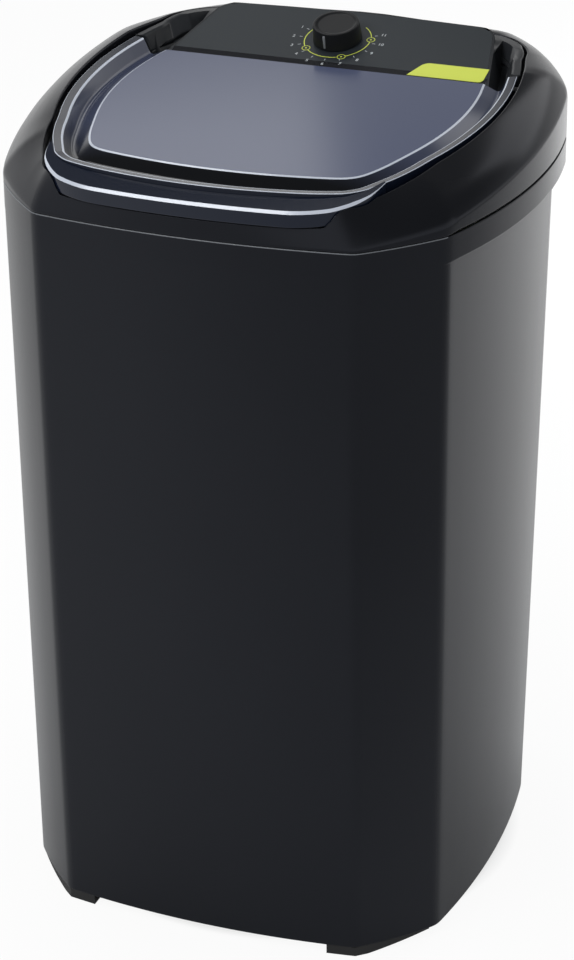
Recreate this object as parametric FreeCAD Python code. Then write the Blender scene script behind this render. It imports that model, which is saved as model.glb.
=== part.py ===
import FreeCAD, Part
import math
import os

V = FreeCAD.Vector

# Frame: millimetres, X to the right, front towards -Y, Z up, origin on the floor under the cabinet's middle.

# Cabinet plan at the parting line with the top cover, as half sizes from the centre.
front_half_width = 156.0
front_edge_depth = 236.5
front_bow = 13.0
facet_width = 64.0
facet_depth = 69.0
side_edge_half_width = front_half_width + facet_width
side_edge_depth = front_edge_depth - facet_depth
facet_bow = 2.5
# The rear facets are deeper than the front ones, and the sides spread towards them.
rear_facet_depth = 103.0
rear_side_depth = front_edge_depth - rear_facet_depth
rim_rear_spread = 20.0
wall_rear_spread = 8.0
rim_side_bow = 21.0
wall_side_bow = 8.5
base_side_bow = 12.6
rim_rear_facet_bow = 8.4
wall_rear_facet_bow = 3.0
# How much the base is drawn in against the parting line.
front_draft = 7.0
side_draft = 4.0
rear_side_draft = 14.5
corner_draft = 2.0
parting_height = 740.0
rim_band_height = 26.0
cabinet_wall = 3.2
ground_clearance = 10.0

# Corner feet.
foot_front_length = 29.0
foot_facet_length = 82.0
foot_width = 22.0
foot_flat_length = 14.0
foot_plug_height = 26.0
foot_edge_inset = 1.0

# Top cover: heights above the parting line at the centre plane, and rise per millimetre towards the rear.
cover_wall = 3.0
shoulder_rise = 30.6
shoulder_slope = 0.117
deck_rise = 61.1
deck_slope = 0.102
rear_deck_rise = 71.0
cover_lip_depth = 8.0
cover_lip_wall = 2.4
# Where the cover's screws stand on the facets, as a share of the way from the side's corner.
front_screw_share = 0.5
rear_screw_share = 0.12
fit_gap = 0.4

# Opening in the top cover: how far its corners stand in from the corners of the cabinet plan.
opening_front_inset = (16.0, 6.0)
opening_side_inset = (30.0, 53.0)
opening_back_inset = (28.0, 24.0)
opening_rear_inset = (6.0, 32.0)
opening_front_bow = 16.0
opening_facet_bow = 7.2
opening_side_bow = 21.5
opening_back_bow = 10.5
opening_rear_bow = 16.0
# The well of the lid is cut this much wider than the upper edge of the cover's slopes.
well_trim = 0.4
# Mouth below the lid, inside the seat ledge.
ledge_width = 12.0
front_ledge_width = 26.0

# Lid: a raised rim, a trough and a flat plateau; insets run from the lid's outer wall.
lid_gap = 5.0
lid_rear_inset = 138.5
lid_rear_gap = 1.0
lid_wall = 2.6
lid_skirt = 16.0
rim_rise = 59.3
rim_slope = 0.071
rim_width = 9.0
lid_front_inset = (38.0, 22.0)
lid_front_bow = 13.0
lid_corner_inset = (59.0, 58.0)
lid_corner_bow = 7.2
lid_facet_bow = 2.1
trough_drop = 17.4
trough_slope = 0.06
trough_inset = 17.0
trough_front_inset = 33.0
plateau_drop = 8.8
plateau_slope = 0.048
plateau_inset = 33.0
plateau_front_inset = 47.5
seat_gap = 0.3

# Front lip of the lid, used as its handle.
lip_front_inset = 6.0
lip_reach = 29.5
lip_front_bow = 5.5
lip_corner_reach = (5.0, 2.0)
lip_corner_bow = 10.9
lip_slope = 0.2
lip_top_rise = 83.8
lip_height = 15.0
lip_wall = 3.0
lip_gap = 0.8
lip_side_gap = 1.2

# Lid hinge: two pins along X in the top cover, one at each rear end of the lid's rim.
hinge_inset = 9.5
hinge_drop = 9.6
hinge_pin_radius = 2.5
hinge_pin_length = 20.0
hinge_boss_radius = 6.0
hinge_boss_length = 6.0
hinge_block_width = 8.5
hinge_block_reach = 7.0
hinge_sweep = 15.0
running_gap = 0.05
press_gap = 0.02

# Console: a raised block with a sloping top inside the rear of the opening.
console_front_inset = 50.0
console_side_inset = (7.0, 52.0)
console_rear_inset = (30.0, 32.0)
console_rear_bow = 4.0
console_corner_bow = 5.0
console_flare = 8.0
console_wall = 3.0
console_top = 5.0
console_ring_width = 12.0
valley_rise = 38.0
fascia_rise = 23.4
fascia_slope = 0.269
fascia_inset = 2.2
fascia_recess = 1.4
fascia_thickness = 1.6
fascia_gap = 0.2
# Badge on the fascia, measured on the slope from the fascia's front edge.
badge_left = 84.0
badge_right = 161.0
badge_slant = 11.0
badge_start = 9.0
badge_length = 24.0
badge_corner = 5.0
badge_thickness = 0.4

# Timer and knob.
knob_x = -5.0
knob_rear_inset = 81.0
knob_radius = 24.5
knob_height = 18.5
knob_taper = 1.0
knob_wall = 2.5
knob_dish = 1.2
knob_lift = 0.8
knob_stem_radius = 6.5
knob_stem_depth = 12.0
knob_mark_width = 2.4
knob_mark_proud = 0.3
knob_mark_turn = -11.5
timer_shaft_radius = 3.0
timer_shaft_hole = 5.0
timer_shaft_in_body = 15.0
timer_size = 58.0
timer_depth = 34.0
timer_screw_spacing = 44.0

# Screws: head radius, head height, shank radius.
small_screw = (3.2, 1.8, 1.5)
cover_screw = (4.0, 2.6, 2.0)
bolt = (5.0, 4.0, 3.0)
screw_gap = 0.25

# Wash tub: a round drum hung from a flange on the cabinet's side ledges.
tub_side_gap = 7.0
tub_taper = 15.0
tub_depth = 455.0
tub_wall = 3.0
tub_corner = 16.0
tub_neck_hole = 19.4
boss_radius = 7.0

# Impeller on its shaft.
impeller_radius = 132.0
impeller_rise = 5.0
impeller_height = 37.0
impeller_shell = 3.0
impeller_edge = 4.0
impeller_blades = 4
blade_width = 13.0
blade_height = 14.0
hub_radius = 20.0
shaft_radius = 6.0
shaft_reach = 28.0
shaft_length = 198.0
impeller_web = 8.0
impeller_screw_length = 22.0
cap_height = 4.0

# Bearing housing under the tub floor.
housing_neck = 19.0
housing_neck_rise = 4.0
housing_flange_radius = 62.0
housing_flange = 6.0
housing_tube = 21.0
housing_length = 124.0
bush_radius = 11.0
bush_length = 24.0
housing_relief = 8.5
seal_radius = 13.0
seal_height = 5.0
housing_bolts = 6
housing_bolt_circle = 48.0
housing_boss_height = 10.0

# Steel bracket under the tub that carries the motor.
bracket_thickness = 3.0
bracket_half_width = 92.0
bracket_front = 85.0
bracket_rear = 232.0
bracket_fold = 12.0
bracket_screw_x = 65.0
bracket_screw_y = 72.0
bracket_boss_height = 7.0
ear_width = 30.0
ear_length = 60.0

# Belt drive.
motor_rear_inset = 71.5
driven_pitch_radius = 95.0
motor_pitch_radius = 23.0
belt_thickness = 6.0
belt_width = 9.0
belt_gap = 0.3
pulley_flange = 2.5
pulley_rim = 9.0
pulley_web = 5.0
pulley_hub_radius = 18.0
pulley_hub_height = 24.0
pulley_holes = 5
pulley_hole_radius = 17.0
belt_drop = 145.0
nut_height = 7.0
nut_radius = 9.5

# Motor, hung from the bracket on rubber mounts.
motor_radius = 60.0
motor_can_wall = 2.5
motor_shield = 14.0
motor_can_height = 82.0
mount_height = 10.0
mount_radius = 9.0
lug_radius = 11.0
lug_thickness = 8.0
lug_circle = 69.0
motor_shaft_radius = 5.5
stator_height = 44.0
stator_bore = 31.5
rotor_gap = 0.5
winding_height = 14.0
winding_inset = 4.0
capacitor_radius = 17.5
capacitor_height = 68.0
# Terminal blades: width, thickness, length.
terminal = (6.0, 1.0, 8.0)
clip_wall = 1.5
clip_height = 20.0

# Drain: strainer, elbow, hose and outlet.
drain_x = -130.0
drain_y = 80.0
drain_bore = 12.5
drain_pipe = 15.0
drain_flange_radius = 20.0
drain_flange = 4.0
drain_drop = 27.0
drain_bend = 22.0
drain_run = 30.0
strainer_thickness = 2.0
strainer_slots = 5
strainer_slot_width = 3.0
hose_wall = 3.3
hose_overlap = 20.0
hose_gap = 0.2
clamp_width = 8.0
clamp_wall = 1.2
clamp_lug = 6.5
pocket_depth = 20.0
pocket_half = 22.0
outlet_reach = 27.0
outlet_spigot_radius = 12.5
outlet_spigot_bore = 9.5
outlet_spigot_length = 25.0
outlet_nut_length = 6.0

# Cord inlet at the rear.
gland_x = 125.0
gland_z = 120.0
gland_radius = 6.0
gland_flange_radius = 9.0
gland_flange = 2.5
gland_bore = 4.0
gland_length = 12.0

# Rear cover over the motor opening.
rear_cover_half_width = 96.0
rear_cover_bottom = 46.0
rear_cover_top = 236.0
rear_cover_thickness = 2.5
rear_cover_gap = 0.2
rear_cover_overlap = 14.0
vent_count = 7
vent_half_width = 55.0
vent_height = 6.0
vent_pitch = 16.0

# Lint filter in guides on the tub's left wall.
filter_half_width = 48.0
filter_height = 160.0
filter_thickness = 16.0
filter_front_x = -164.0
filter_bottom_rise = 158.0
filter_frame = 9.0
filter_gap = 0.4
guide_thickness = 4.0
guide_lip = 6.0
guide_extra = 20.0
mesh_thickness = 1.0
mesh_columns = 8
mesh_rows = 12
mesh_bar = 2.5
tab_width = 30.0
tab_height = 10.0

# Cutting tools run this far past the faces they cut.
overrun = 30.0


# Places that follow the cabinet plan.
lid_front_half = front_half_width - lid_front_inset[0]
lid_front_depth = front_edge_depth - lid_front_inset[1]
lid_corner_half = side_edge_half_width - lid_corner_inset[0]
lid_corner_depth = front_edge_depth - lid_corner_inset[1]
lid_rear = front_edge_depth - lid_rear_inset
hinge_y = lid_rear - hinge_inset
lip_front_half = lid_front_half - lip_front_inset
lip_front_depth = lid_front_depth + lip_reach
lip_corner_half = lid_corner_half + lip_corner_reach[0]
lip_corner_depth = lid_corner_depth + lip_corner_reach[1]
console_front_half = side_edge_half_width - console_front_inset
console_side_half = front_half_width - console_side_inset[0]
console_side_depth = front_edge_depth - console_side_inset[1]
console_rear_half = front_half_width - console_rear_inset[0]
console_rear_depth = front_edge_depth - console_rear_inset[1]
knob_y = front_edge_depth - knob_rear_inset
tub_radius = side_edge_half_width - tub_side_gap
tub_floor_radius = tub_radius - tub_taper
motor_distance = front_edge_depth - motor_rear_inset


def level(height):
    return (height, 0.0)


def shifted(plane, rise):
    return (plane[0] + rise, plane[1])


def height_on(plane, y):
    return plane[0] + plane[1] * y


ledge_top = parting_height - rim_band_height + cabinet_wall
shoulder_plane = (parting_height + shoulder_rise, shoulder_slope)
deck_plane = (parting_height + deck_rise, deck_slope)
rim_plane = (parting_height + rim_rise, rim_slope)
seat_plane = shifted(rim_plane, -lid_skirt)
trough_plane = (rim_plane[0] - trough_drop, trough_slope)
plateau_plane = (rim_plane[0] - plateau_drop, plateau_slope)
lip_top_plane = (parting_height + lip_top_rise, lip_slope)
lip_low_plane = shifted(lip_top_plane, -lip_height)
fascia_plane = (parting_height + fascia_rise, fascia_slope)
hinge_z = height_on(rim_plane, hinge_y) - hinge_drop
tub_top = ledge_top + tub_wall
tub_floor = tub_top - tub_depth
tub_under = tub_floor - tub_wall
belt_height = tub_under - bracket_thickness - belt_drop


def outward(start, end):
    """Unit normal that points out of a plan whose corners run anticlockwise."""
    dx = end[0] - start[0]
    dy = end[1] - start[1]
    size = math.hypot(dx, dy)
    return dy / size, -dx / size


def inset_corners(corners, insets):
    """Corners of the plan with each side moved inwards by its own inset."""
    moved = []
    for i, corner in enumerate(corners):
        before = outward(corners[i - 1], corner)
        after = outward(corner, corners[(i + 1) % len(corners)])
        overlap = before[0] * after[0] + before[1] * after[1]
        share = 1.0 - overlap * overlap
        first = (overlap * insets[i] - insets[i - 1]) / share
        second = (overlap * insets[i - 1] - insets[i]) / share
        moved.append((
            corner[0] + first * before[0] + second * after[0],
            corner[1] + first * before[1] + second * after[1],
        ))
    return moved


def symmetric_plan(points, bows, rear_bow, front_bow_size):
    """Closed plan from the right-hand corners, front to rear, mirrored to the left."""
    left = [(-x, y) for x, y in reversed(points)]
    return list(points) + left, list(bows) + [rear_bow] + list(reversed(bows)) + [front_bow_size]


def plan_edges(plan, plane, insets=0.0):
    """Sides of the plan as arcs or lines, lifted to an inclined plane."""
    corners, bows = plan
    if not isinstance(insets, (list, tuple)):
        insets = [insets] * len(corners)
    corners = inset_corners(corners, insets)
    edges = []
    for i, start in enumerate(corners):
        end = corners[(i + 1) % len(corners)]
        normal = outward(start, end)
        middle = [(start[k] + end[k]) / 2 + bows[i] * normal[k] for k in (0, 1)]
        first, centre, last = (V(p[0], p[1], height_on(plane, p[1])) for p in (start, middle, end))
        if bows[i] == 0.0:
            edges.append(Part.LineSegment(first, last).toShape())
        else:
            edges.append(Part.Arc(first, centre, last).toShape())
    return edges


def plan_wire(plan, plane, insets=0.0):
    return Part.Wire(plan_edges(plan, plane, insets))


def between(*wires):
    """Solid with straight sides through the wires, from the lowest to the highest."""
    return Part.makeLoft(list(wires), True, True)


def prism(plan, low, high, insets=0.0):
    return between(plan_wire(plan, low, insets), plan_wire(plan, high, insets))


def box(x0, x1, y0, y1, z0, z1):
    return Part.makeBox(x1 - x0, y1 - y0, z1 - z0, V(x0, y0, z0))


def cylinder(radius, start, end):
    axis = end.sub(start)
    return Part.makeCylinder(radius, axis.Length, start, axis)


def upright(radius, x, y, low, high):
    return cylinder(radius, V(x, y, low), V(x, y, high))


def pipe(outer, inner, start, end):
    return cylinder(outer, start, end).cut(cylinder(inner, start, end))


def turned(profile, x=0.0, y=0.0):
    """Solid of revolution about an upright axis from (radius, height) points."""
    points = [V(radius, 0, height) for radius, height in profile]
    face = Part.Face(Part.makePolygon(points + points[:1]))
    solid = face.revolve(V(0, 0, 0), V(0, 0, 1), 360)
    solid.translate(V(x, y, 0))
    return solid


def joined(first, *others):
    return first.fuse(list(others)).removeSplitter()


def group(solids):
    return Part.makeCompound(list(solids))


def screw(seat, direction, sizes, length):
    """Socket-head screw whose head bears at the seat, with its shank along the direction."""
    head_radius, head_height, shank_radius = sizes
    axis = V(*direction)
    top = seat - axis * head_height
    side = V(0, 0, 1) if abs(axis.z) < 0.5 else V(1, 0, 0)
    across = axis.cross(side).normalize() * (head_radius * 0.5)
    along = axis.cross(across).normalize() * (head_radius * 0.5)
    corners = []
    for step in range(6):
        angle = math.radians(60 * step)
        corners.append(top + across * math.cos(angle) + along * math.sin(angle))
    socket = Part.Face(Part.makePolygon(corners + corners[:1])).extrude(axis * (head_height * 0.6))
    head = cylinder(head_radius, top, seat).cut(socket)
    return head.fuse(cylinder(shank_radius, seat, seat + axis * length)).removeSplitter()


def both_sides(make):
    return [make(-1), make(1)]


# Plans shared by the pieces.
def cabinet_plan(side_bow, rear_bow, spread, draft):
    front = (front_half_width - draft * corner_draft, -(front_edge_depth - draft * front_draft))
    side = (side_edge_half_width - draft * side_draft, -(side_edge_depth - draft * side_draft))
    back = (side_edge_half_width + spread - draft * rear_side_draft, rear_side_depth - draft * front_draft)
    points = [front, side, back, (front[0], -front[1])]
    return symmetric_plan(points, [facet_bow, side_bow, rear_bow], front_bow, front_bow)


def facet_ends(plan, end):
    """Corners of the right-hand facet at the front (-1) or rear (1), from the middle outwards."""
    corners = plan[0]
    return (corners[0], corners[1]) if end < 0 else (corners[3], corners[2])


rim_plan = cabinet_plan(rim_side_bow, rim_rear_facet_bow, rim_rear_spread, 0.0)
wall_plan = cabinet_plan(wall_side_bow, wall_rear_facet_bow, wall_rear_spread, 0.0)
base_plan = cabinet_plan(base_side_bow, wall_rear_facet_bow, wall_rear_spread, 1.0)
opening_plan = symmetric_plan(
    [
        (front_half_width - opening_front_inset[0], -(front_edge_depth - opening_front_inset[1])),
        (side_edge_half_width - opening_side_inset[0], -(side_edge_depth - opening_side_inset[1])),
        (side_edge_half_width - opening_back_inset[0], side_edge_depth - opening_back_inset[1]),
        (front_half_width - opening_rear_inset[0], front_edge_depth - opening_rear_inset[1]),
    ],
    [opening_facet_bow, opening_side_bow, opening_back_bow],
    opening_rear_bow,
    opening_front_bow,
)


def side_circle(plan, side):
    """Centre and radius of one bowed side of a plan."""
    corners, bows = plan
    start, end = corners[side], corners[side + 1]
    normal = outward(start, end)
    half = math.hypot(end[0] - start[0], end[1] - start[1]) / 2
    radius = (half * half + bows[side] ** 2) / (2 * bows[side])
    centre = [(start[k] + end[k]) / 2 + (bows[side] - radius) * normal[k] for k in (0, 1)]
    return centre, radius


def side_reach(plan, side, y, inset):
    """How far out a bowed side lies at the given depth."""
    centre, radius = side_circle(plan, side)
    return centre[0] + math.sqrt((radius - inset) ** 2 - (y - centre[1]) ** 2)


def rear_wall_depth(x, z):
    """Depth of the cabinet's outer rear face."""
    draft = (ledge_top - z) / (ledge_top - ground_clearance)
    half = front_half_width - draft * corner_draft
    return front_edge_depth - draft * front_draft + front_bow * (1 - (x / half) ** 2)


SIDE = 1
lid_knee_y = opening_plan[0][SIDE][1]
lid_knee = (side_reach(opening_plan, SIDE, lid_knee_y, lid_gap), lid_knee_y)
lid_rear_half = side_reach(opening_plan, SIDE, lid_rear, lid_gap)
lid_side_chord = math.hypot(lid_rear_half - lid_knee[0], lid_rear - lid_knee_y)
lid_side_radius = side_circle(opening_plan, SIDE)[1] - lid_gap
lid_side_bow = lid_side_radius - math.sqrt(lid_side_radius ** 2 - lid_side_chord ** 2 / 4)
lid_plan = symmetric_plan(
    [
        (lid_front_half, -lid_front_depth),
        (lid_corner_half, -lid_corner_depth),
        lid_knee,
        (lid_rear_half, lid_rear),
    ],
    [lid_corner_bow, lid_facet_bow, lid_side_bow],
    0.0,
    lid_front_bow,
)
lip_plan = symmetric_plan(
    [(lip_front_half, -lip_front_depth), (lip_corner_half, -lip_corner_depth)],
    [lip_corner_bow],
    0.0,
    lip_front_bow,
)
console_plan = symmetric_plan(
    [
        (console_front_half, lid_rear + lid_rear_gap),
        (console_side_half, console_side_depth),
        (console_rear_half, console_rear_depth),
    ],
    [0.0, console_corner_bow],
    console_rear_bow,
    0.0,
)
OPENING_SIDES = 8
FRONT_SIDE = 7
mouth_insets = [ledge_width] * OPENING_SIDES
mouth_insets[FRONT_SIDE] = front_ledge_width
fascia_tilt = math.atan(fascia_slope)
fascia_normal = V(0, -math.sin(fascia_tilt), math.cos(fascia_tilt))
fascia_up = V(0, math.cos(fascia_tilt), math.sin(fascia_tilt))
knob_seat = V(knob_x, knob_y, height_on(fascia_plane, knob_y))


def lid_insets(front, sides):
    """Insets of one lid line: the rear stays, the front has its own value."""
    corner = min(front, sides + (front - sides) / 4)
    return [corner, sides, sides, 0.0, sides, sides, corner, front]


def rear_half(plan, low, high, inset):
    """Part of a prism that lies behind the lid."""
    start = lid_rear + lid_rear_gap
    reach = front_edge_depth + front_bow
    top = parting_height + deck_rise + reach
    keep = box(-reach, reach, start, reach, 0, top)
    return prism(plan, low, high, inset).common(keep)


# Cabinet and feet
def make_cabinet():
    band_low = parting_height - rim_band_height
    body = between(plan_wire(base_plan, level(ground_clearance)), plan_wire(wall_plan, level(band_low)))
    band = prism(rim_plan, level(band_low), level(parting_height))
    hollow = between(
        plan_wire(base_plan, level(ground_clearance - overrun), cabinet_wall),
        plan_wire(base_plan, level(ground_clearance), cabinet_wall),
        plan_wire(wall_plan, level(ledge_top), cabinet_wall),
    )
    rim_hollow = prism(rim_plan, level(ledge_top), level(parting_height + overrun), cabinet_wall)
    shell = body.fuse(band).cut(hollow).cut(rim_hollow)
    shell = shell.cut(rear_opening())
    shell = shell.cut(outlet_pocket_outer()).fuse(outlet_pocket())
    shell = shell.cut(outlet_bore(screw_gap)).cut(gland_hole())
    for x, z in rear_screw_places():
        depth = rear_wall_depth(x, z)
        hole = cover_screw[2] + screw_gap
        shell = shell.cut(cylinder(hole, V(x, depth - overrun, z), V(x, depth + overrun, z)))
    for place in tub_screw_places():
        hole = cover_screw[2] + screw_gap
        shell = shell.cut(upright(hole, place[0], place[1], band_low - 1, ledge_top + 1))
    return shell.removeSplitter()


def make_foot(side, end):
    """Corner foot: a pad under the front and facet edges, with a plug inside the walls."""
    corner, knee = facet_ends(base_plan, end)
    size = math.hypot(knee[0] - corner[0], knee[1] - corner[1])
    along = ((knee[0] - corner[0]) / size, (knee[1] - corner[1]) / size)
    normal = (abs(along[1]), end * abs(along[0]))
    ring_low = prism(base_plan, level(0), level(ground_clearance), foot_edge_inset)
    ring_low = ring_low.cut(prism(base_plan, level(0), level(ground_clearance), foot_width))
    plug_inset = cabinet_wall + fit_gap
    plug_top = ground_clearance + foot_plug_height
    plug = prism(base_plan, level(ground_clearance), level(plug_top), plug_inset)
    plug = plug.cut(prism(base_plan, level(ground_clearance), level(plug_top), foot_width))
    tip = (corner[0] + along[0] * foot_facet_length, corner[1] + along[1] * foot_facet_length)
    out, reach = foot_width, 3 * foot_width
    start = corner[0] - foot_front_length
    beyond = corner[1] + end * (out + front_bow)
    region = [
        V(start, beyond, 0),
        V(corner[0] + out, beyond, 0),
        V(tip[0] + normal[0] * out, tip[1] + normal[1] * out, 0),
        V(tip[0] - normal[0] * reach, tip[1] - normal[1] * reach, 0),
        V(start, corner[1] - end * reach, 0),
    ]
    keep = Part.Face(Part.makePolygon(region + region[:1])).extrude(V(0, 0, plug_top))
    foot = ring_low.fuse(plug).common(keep)
    ramp = []
    for distance, height in ((foot_flat_length, 0), (size, 0), (size, ground_clearance)):
        x = corner[0] + along[0] * distance + normal[0] * reach
        y = corner[1] + along[1] * distance + normal[1] * reach
        ramp.append(V(x, y, height))
    inwards = V(-2 * reach * normal[0], -2 * reach * normal[1], 0)
    wedge = Part.Face(Part.makePolygon(ramp + ramp[:1])).extrude(inwards)
    foot = foot.cut(wedge).removeSplitter()
    if side < 0:
        foot = foot.mirror(V(0, 0, 0), V(1, 0, 0))
    return foot


def rear_opening():
    inner = rear_cover_half_width - rear_cover_overlap
    depth = front_edge_depth
    return box(
        -inner, inner, depth - overrun, depth + overrun,
        rear_cover_bottom + rear_cover_overlap, rear_cover_top - rear_cover_overlap,
    )


# Rear cover, outlet pocket and cord inlet
def rear_screw_places():
    x = rear_cover_half_width - rear_cover_overlap / 2
    low = rear_cover_bottom + rear_cover_overlap / 2
    high = rear_cover_top - rear_cover_overlap / 2
    return [(sign * x, z) for sign in (-1, 1) for z in (low, (low + high) / 2, high)]


def make_rear_cover():
    outer = rear_cover_gap + rear_cover_thickness
    plate = between(
        plan_wire(base_plan, level(ground_clearance), -outer),
        plan_wire(wall_plan, level(parting_height - rim_band_height), -outer),
    )
    plate = plate.cut(between(
        plan_wire(base_plan, level(ground_clearance), -rear_cover_gap),
        plan_wire(wall_plan, level(parting_height - rim_band_height), -rear_cover_gap),
    ))
    depth = front_edge_depth
    half = rear_cover_half_width
    near, far = depth - overrun, depth + overrun
    plate = plate.common(box(-half, half, near, far, rear_cover_bottom, rear_cover_top))
    middle = (rear_cover_bottom + rear_cover_top) / 2
    for row in range(vent_count):
        z = middle + (row - (vent_count - 1) / 2) * vent_pitch
        slot = box(
            -vent_half_width, vent_half_width, depth - overrun, depth + overrun,
            z - vent_height / 2, z + vent_height / 2,
        )
        plate = plate.cut(slot)
    for x, z in rear_screw_places():
        hole = cylinder(cover_screw[2] + screw_gap, V(x, depth - overrun, z), V(x, depth + overrun, z))
        plate = plate.cut(hole)
    return plate


def make_rear_cover_screws():
    solids = []
    for x, z in rear_screw_places():
        inside = abs(x) - cover_screw[0]
        seat = rear_wall_depth(inside, z + cover_screw[0]) + rear_cover_gap + rear_cover_thickness
        length = rear_cover_thickness + cabinet_wall + 4 * cover_screw[2]
        solids.append(screw(V(x, seat, z), (0, -1, 0), cover_screw, length))
    return group(solids)


hose_z = tub_under - drain_drop - drain_bend
pocket_floor = rear_wall_depth(drain_x, hose_z) - pocket_depth


def outlet_pocket_box(extra, floor_extra):
    half = pocket_half + extra
    rear = front_edge_depth + front_bow
    return box(drain_x - half, drain_x + half, pocket_floor - floor_extra, rear, hose_z - half, hose_z + half)


def outlet_pocket_outer():
    return outlet_pocket_box(0.0, 0.0)


def outlet_pocket():
    walls = outlet_pocket_box(cabinet_wall, cabinet_wall).cut(outlet_pocket_box(0.0, 0.0))
    outside = between(
        plan_wire(base_plan, level(ground_clearance)),
        plan_wire(wall_plan, level(parting_height - rim_band_height)),
    )
    return walls.common(outside)


def outlet_bore(clearance):
    start = V(drain_x, pocket_floor - overrun, hose_z)
    return cylinder(drain_pipe + clearance, start, V(drain_x, pocket_floor + overrun, hose_z))


def make_drain_outlet():
    """Bulkhead fitting: a hose tail inside, a flange on the pocket floor and a spigot outside."""
    inner = V(drain_x, pocket_floor - cabinet_wall - outlet_reach, hose_z)
    face = V(drain_x, pocket_floor, hose_z)
    rim = V(drain_x, pocket_floor + drain_flange, hose_z)
    tip = V(drain_x, pocket_floor + drain_flange + outlet_spigot_length, hose_z)
    body = cylinder(drain_pipe, inner, face)
    flange = cylinder(drain_flange_radius, face, rim)
    spigot = cylinder(outlet_spigot_radius, rim, tip)
    return joined(body, flange, spigot).cut(cylinder(outlet_spigot_bore, inner, tip))


def make_outlet_nut():
    high = V(drain_x, pocket_floor - cabinet_wall, hose_z)
    low = V(drain_x, pocket_floor - cabinet_wall - outlet_nut_length, hose_z)
    return pipe(drain_flange_radius, drain_pipe + press_gap, low, high)


gland_face = rear_wall_depth(gland_x + gland_flange_radius, gland_z)


def gland_hole():
    through = cylinder(
        gland_radius + fit_gap,
        V(gland_x, gland_face - overrun, gland_z), V(gland_x, gland_face + overrun, gland_z),
    )
    pad = cylinder(
        gland_flange_radius + fit_gap,
        V(gland_x, gland_face, gland_z), V(gland_x, gland_face + overrun, gland_z),
    )
    return through.fuse(pad)


def make_cord_gland():
    outside = V(gland_x, gland_face + gland_flange, gland_z)
    face = V(gland_x, gland_face, gland_z)
    inside = V(gland_x, gland_face - gland_length, gland_z)
    body = joined(cylinder(gland_flange_radius, face, outside), cylinder(gland_radius, inside, face))
    return body.cut(cylinder(gland_bore, inside, outside))


# Top cover
def cover_screw_places():
    places = []
    inset = cabinet_wall + 2 * cover_screw[0] + fit_gap
    for end, share in ((-1, front_screw_share), (1, rear_screw_share)):
        corner, knee = facet_ends(wall_plan, end)
        x = knee[0] + share * (corner[0] - knee[0])
        y = knee[1] + share * (corner[1] - knee[1])
        across, deep = abs(knee[0] - corner[0]), abs(knee[1] - corner[1])
        size = math.hypot(across, deep)
        x, y = x - inset * deep / size, y - end * inset * across / size
        places += [(-x, y), (x, y)]
    return places


def make_top_cover():
    """Frame: vertical skirt to an inclined shoulder, then slopes to the edge of the lid well."""
    parting = plan_wire(rim_plan, level(parting_height))
    outer = between(parting, plan_wire(rim_plan, shoulder_plane), plan_wire(opening_plan, deck_plane))
    reach = front_edge_depth + front_bow
    sky = parting_height + deck_rise + reach
    outer = outer.cut(box(-reach, reach, -reach, reach, parting_height + rear_deck_rise, sky))
    inner = between(
        plan_wire(rim_plan, level(parting_height - overrun), cover_wall),
        plan_wire(rim_plan, shifted(shoulder_plane, -cover_wall), cover_wall),
        plan_wire(opening_plan, shifted(deck_plane, -cover_wall), 0.0),
    )
    inner = inner.cut(box(-reach, reach, -reach, reach, parting_height + rear_deck_rise - cover_wall, sky))
    well = prism(opening_plan, shifted(seat_plane, -seat_gap), level(sky), -well_trim)
    notch_low = shifted(lip_low_plane, -lip_gap)
    notch = prism(lip_plan, notch_low, level(sky), -lip_side_gap)
    jacket_low = shifted(seat_plane, -seat_gap - cover_wall)
    jacket = prism(opening_plan, jacket_low, level(sky), -well_trim - cover_wall)
    notch_jacket = prism(lip_plan, shifted(notch_low, -cover_wall), level(sky), -lip_side_gap - cover_wall)
    mouth = prism(opening_plan, level(parting_height - overrun), level(sky), mouth_insets)
    hollow = inner.cut(jacket).cut(notch_jacket)
    shell = outer.cut(well).cut(notch).cut(hollow).cut(mouth)
    lip_inset = cabinet_wall + fit_gap
    lip_low, lip_high = level(parting_height - cover_lip_depth), level(parting_height + cover_wall)
    lip = prism(rim_plan, lip_low, lip_high, lip_inset)
    lip = lip.fuse(prism(rim_plan, level(parting_height), lip_high, cover_wall / 2))
    lip = lip.cut(prism(rim_plan, lip_low, lip_high, lip_inset + cover_lip_wall))
    additions = [lip]
    for x, y in cover_screw_places():
        boss = upright(boss_radius, x, y, tub_top, parting_height + deck_rise)
        column = prism(rim_plan, level(tub_top), level(parting_height), lip_inset)
        additions.append(boss.common(outer.fuse(column)))
    for side in (-1, 1):
        wall = side_reach(opening_plan, SIDE, hinge_y, 0.0)
        start = V(side * (wall + cover_wall / 2), hinge_y, hinge_z)
        end = V(side * (wall + cover_wall + hinge_boss_length), hinge_y, hinge_z)
        additions.append(cylinder(hinge_boss_radius, start, end).common(outer))
    shell = shell.fuse(additions)
    for side in (-1, 1):
        shell = shell.cut(hinge_line(side, hinge_pin_radius + press_gap))
        shell = shell.cut(hinge_relief(side))
    for x, y in cover_screw_places():
        pilot = cover_screw[2] + press_gap
        shell = shell.cut(upright(pilot, x, y, tub_top - 1, tub_top + 6 * cover_screw[2]))
    for x, y in console_screw_places():
        low = height_on(seat_plane, y) - overrun
        shell = shell.cut(upright(small_screw[2] + screw_gap, x, y, low, low + 2 * overrun))
    return shell.removeSplitter()


def hinge_line(side, radius):
    wall = side_reach(opening_plan, SIDE, hinge_y, 0.0)
    end = wall + cover_wall + hinge_boss_length
    start = end - hinge_pin_length
    return cylinder(radius, V(side * start, hinge_y, hinge_z), V(side * end, hinge_y, hinge_z))


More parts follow.
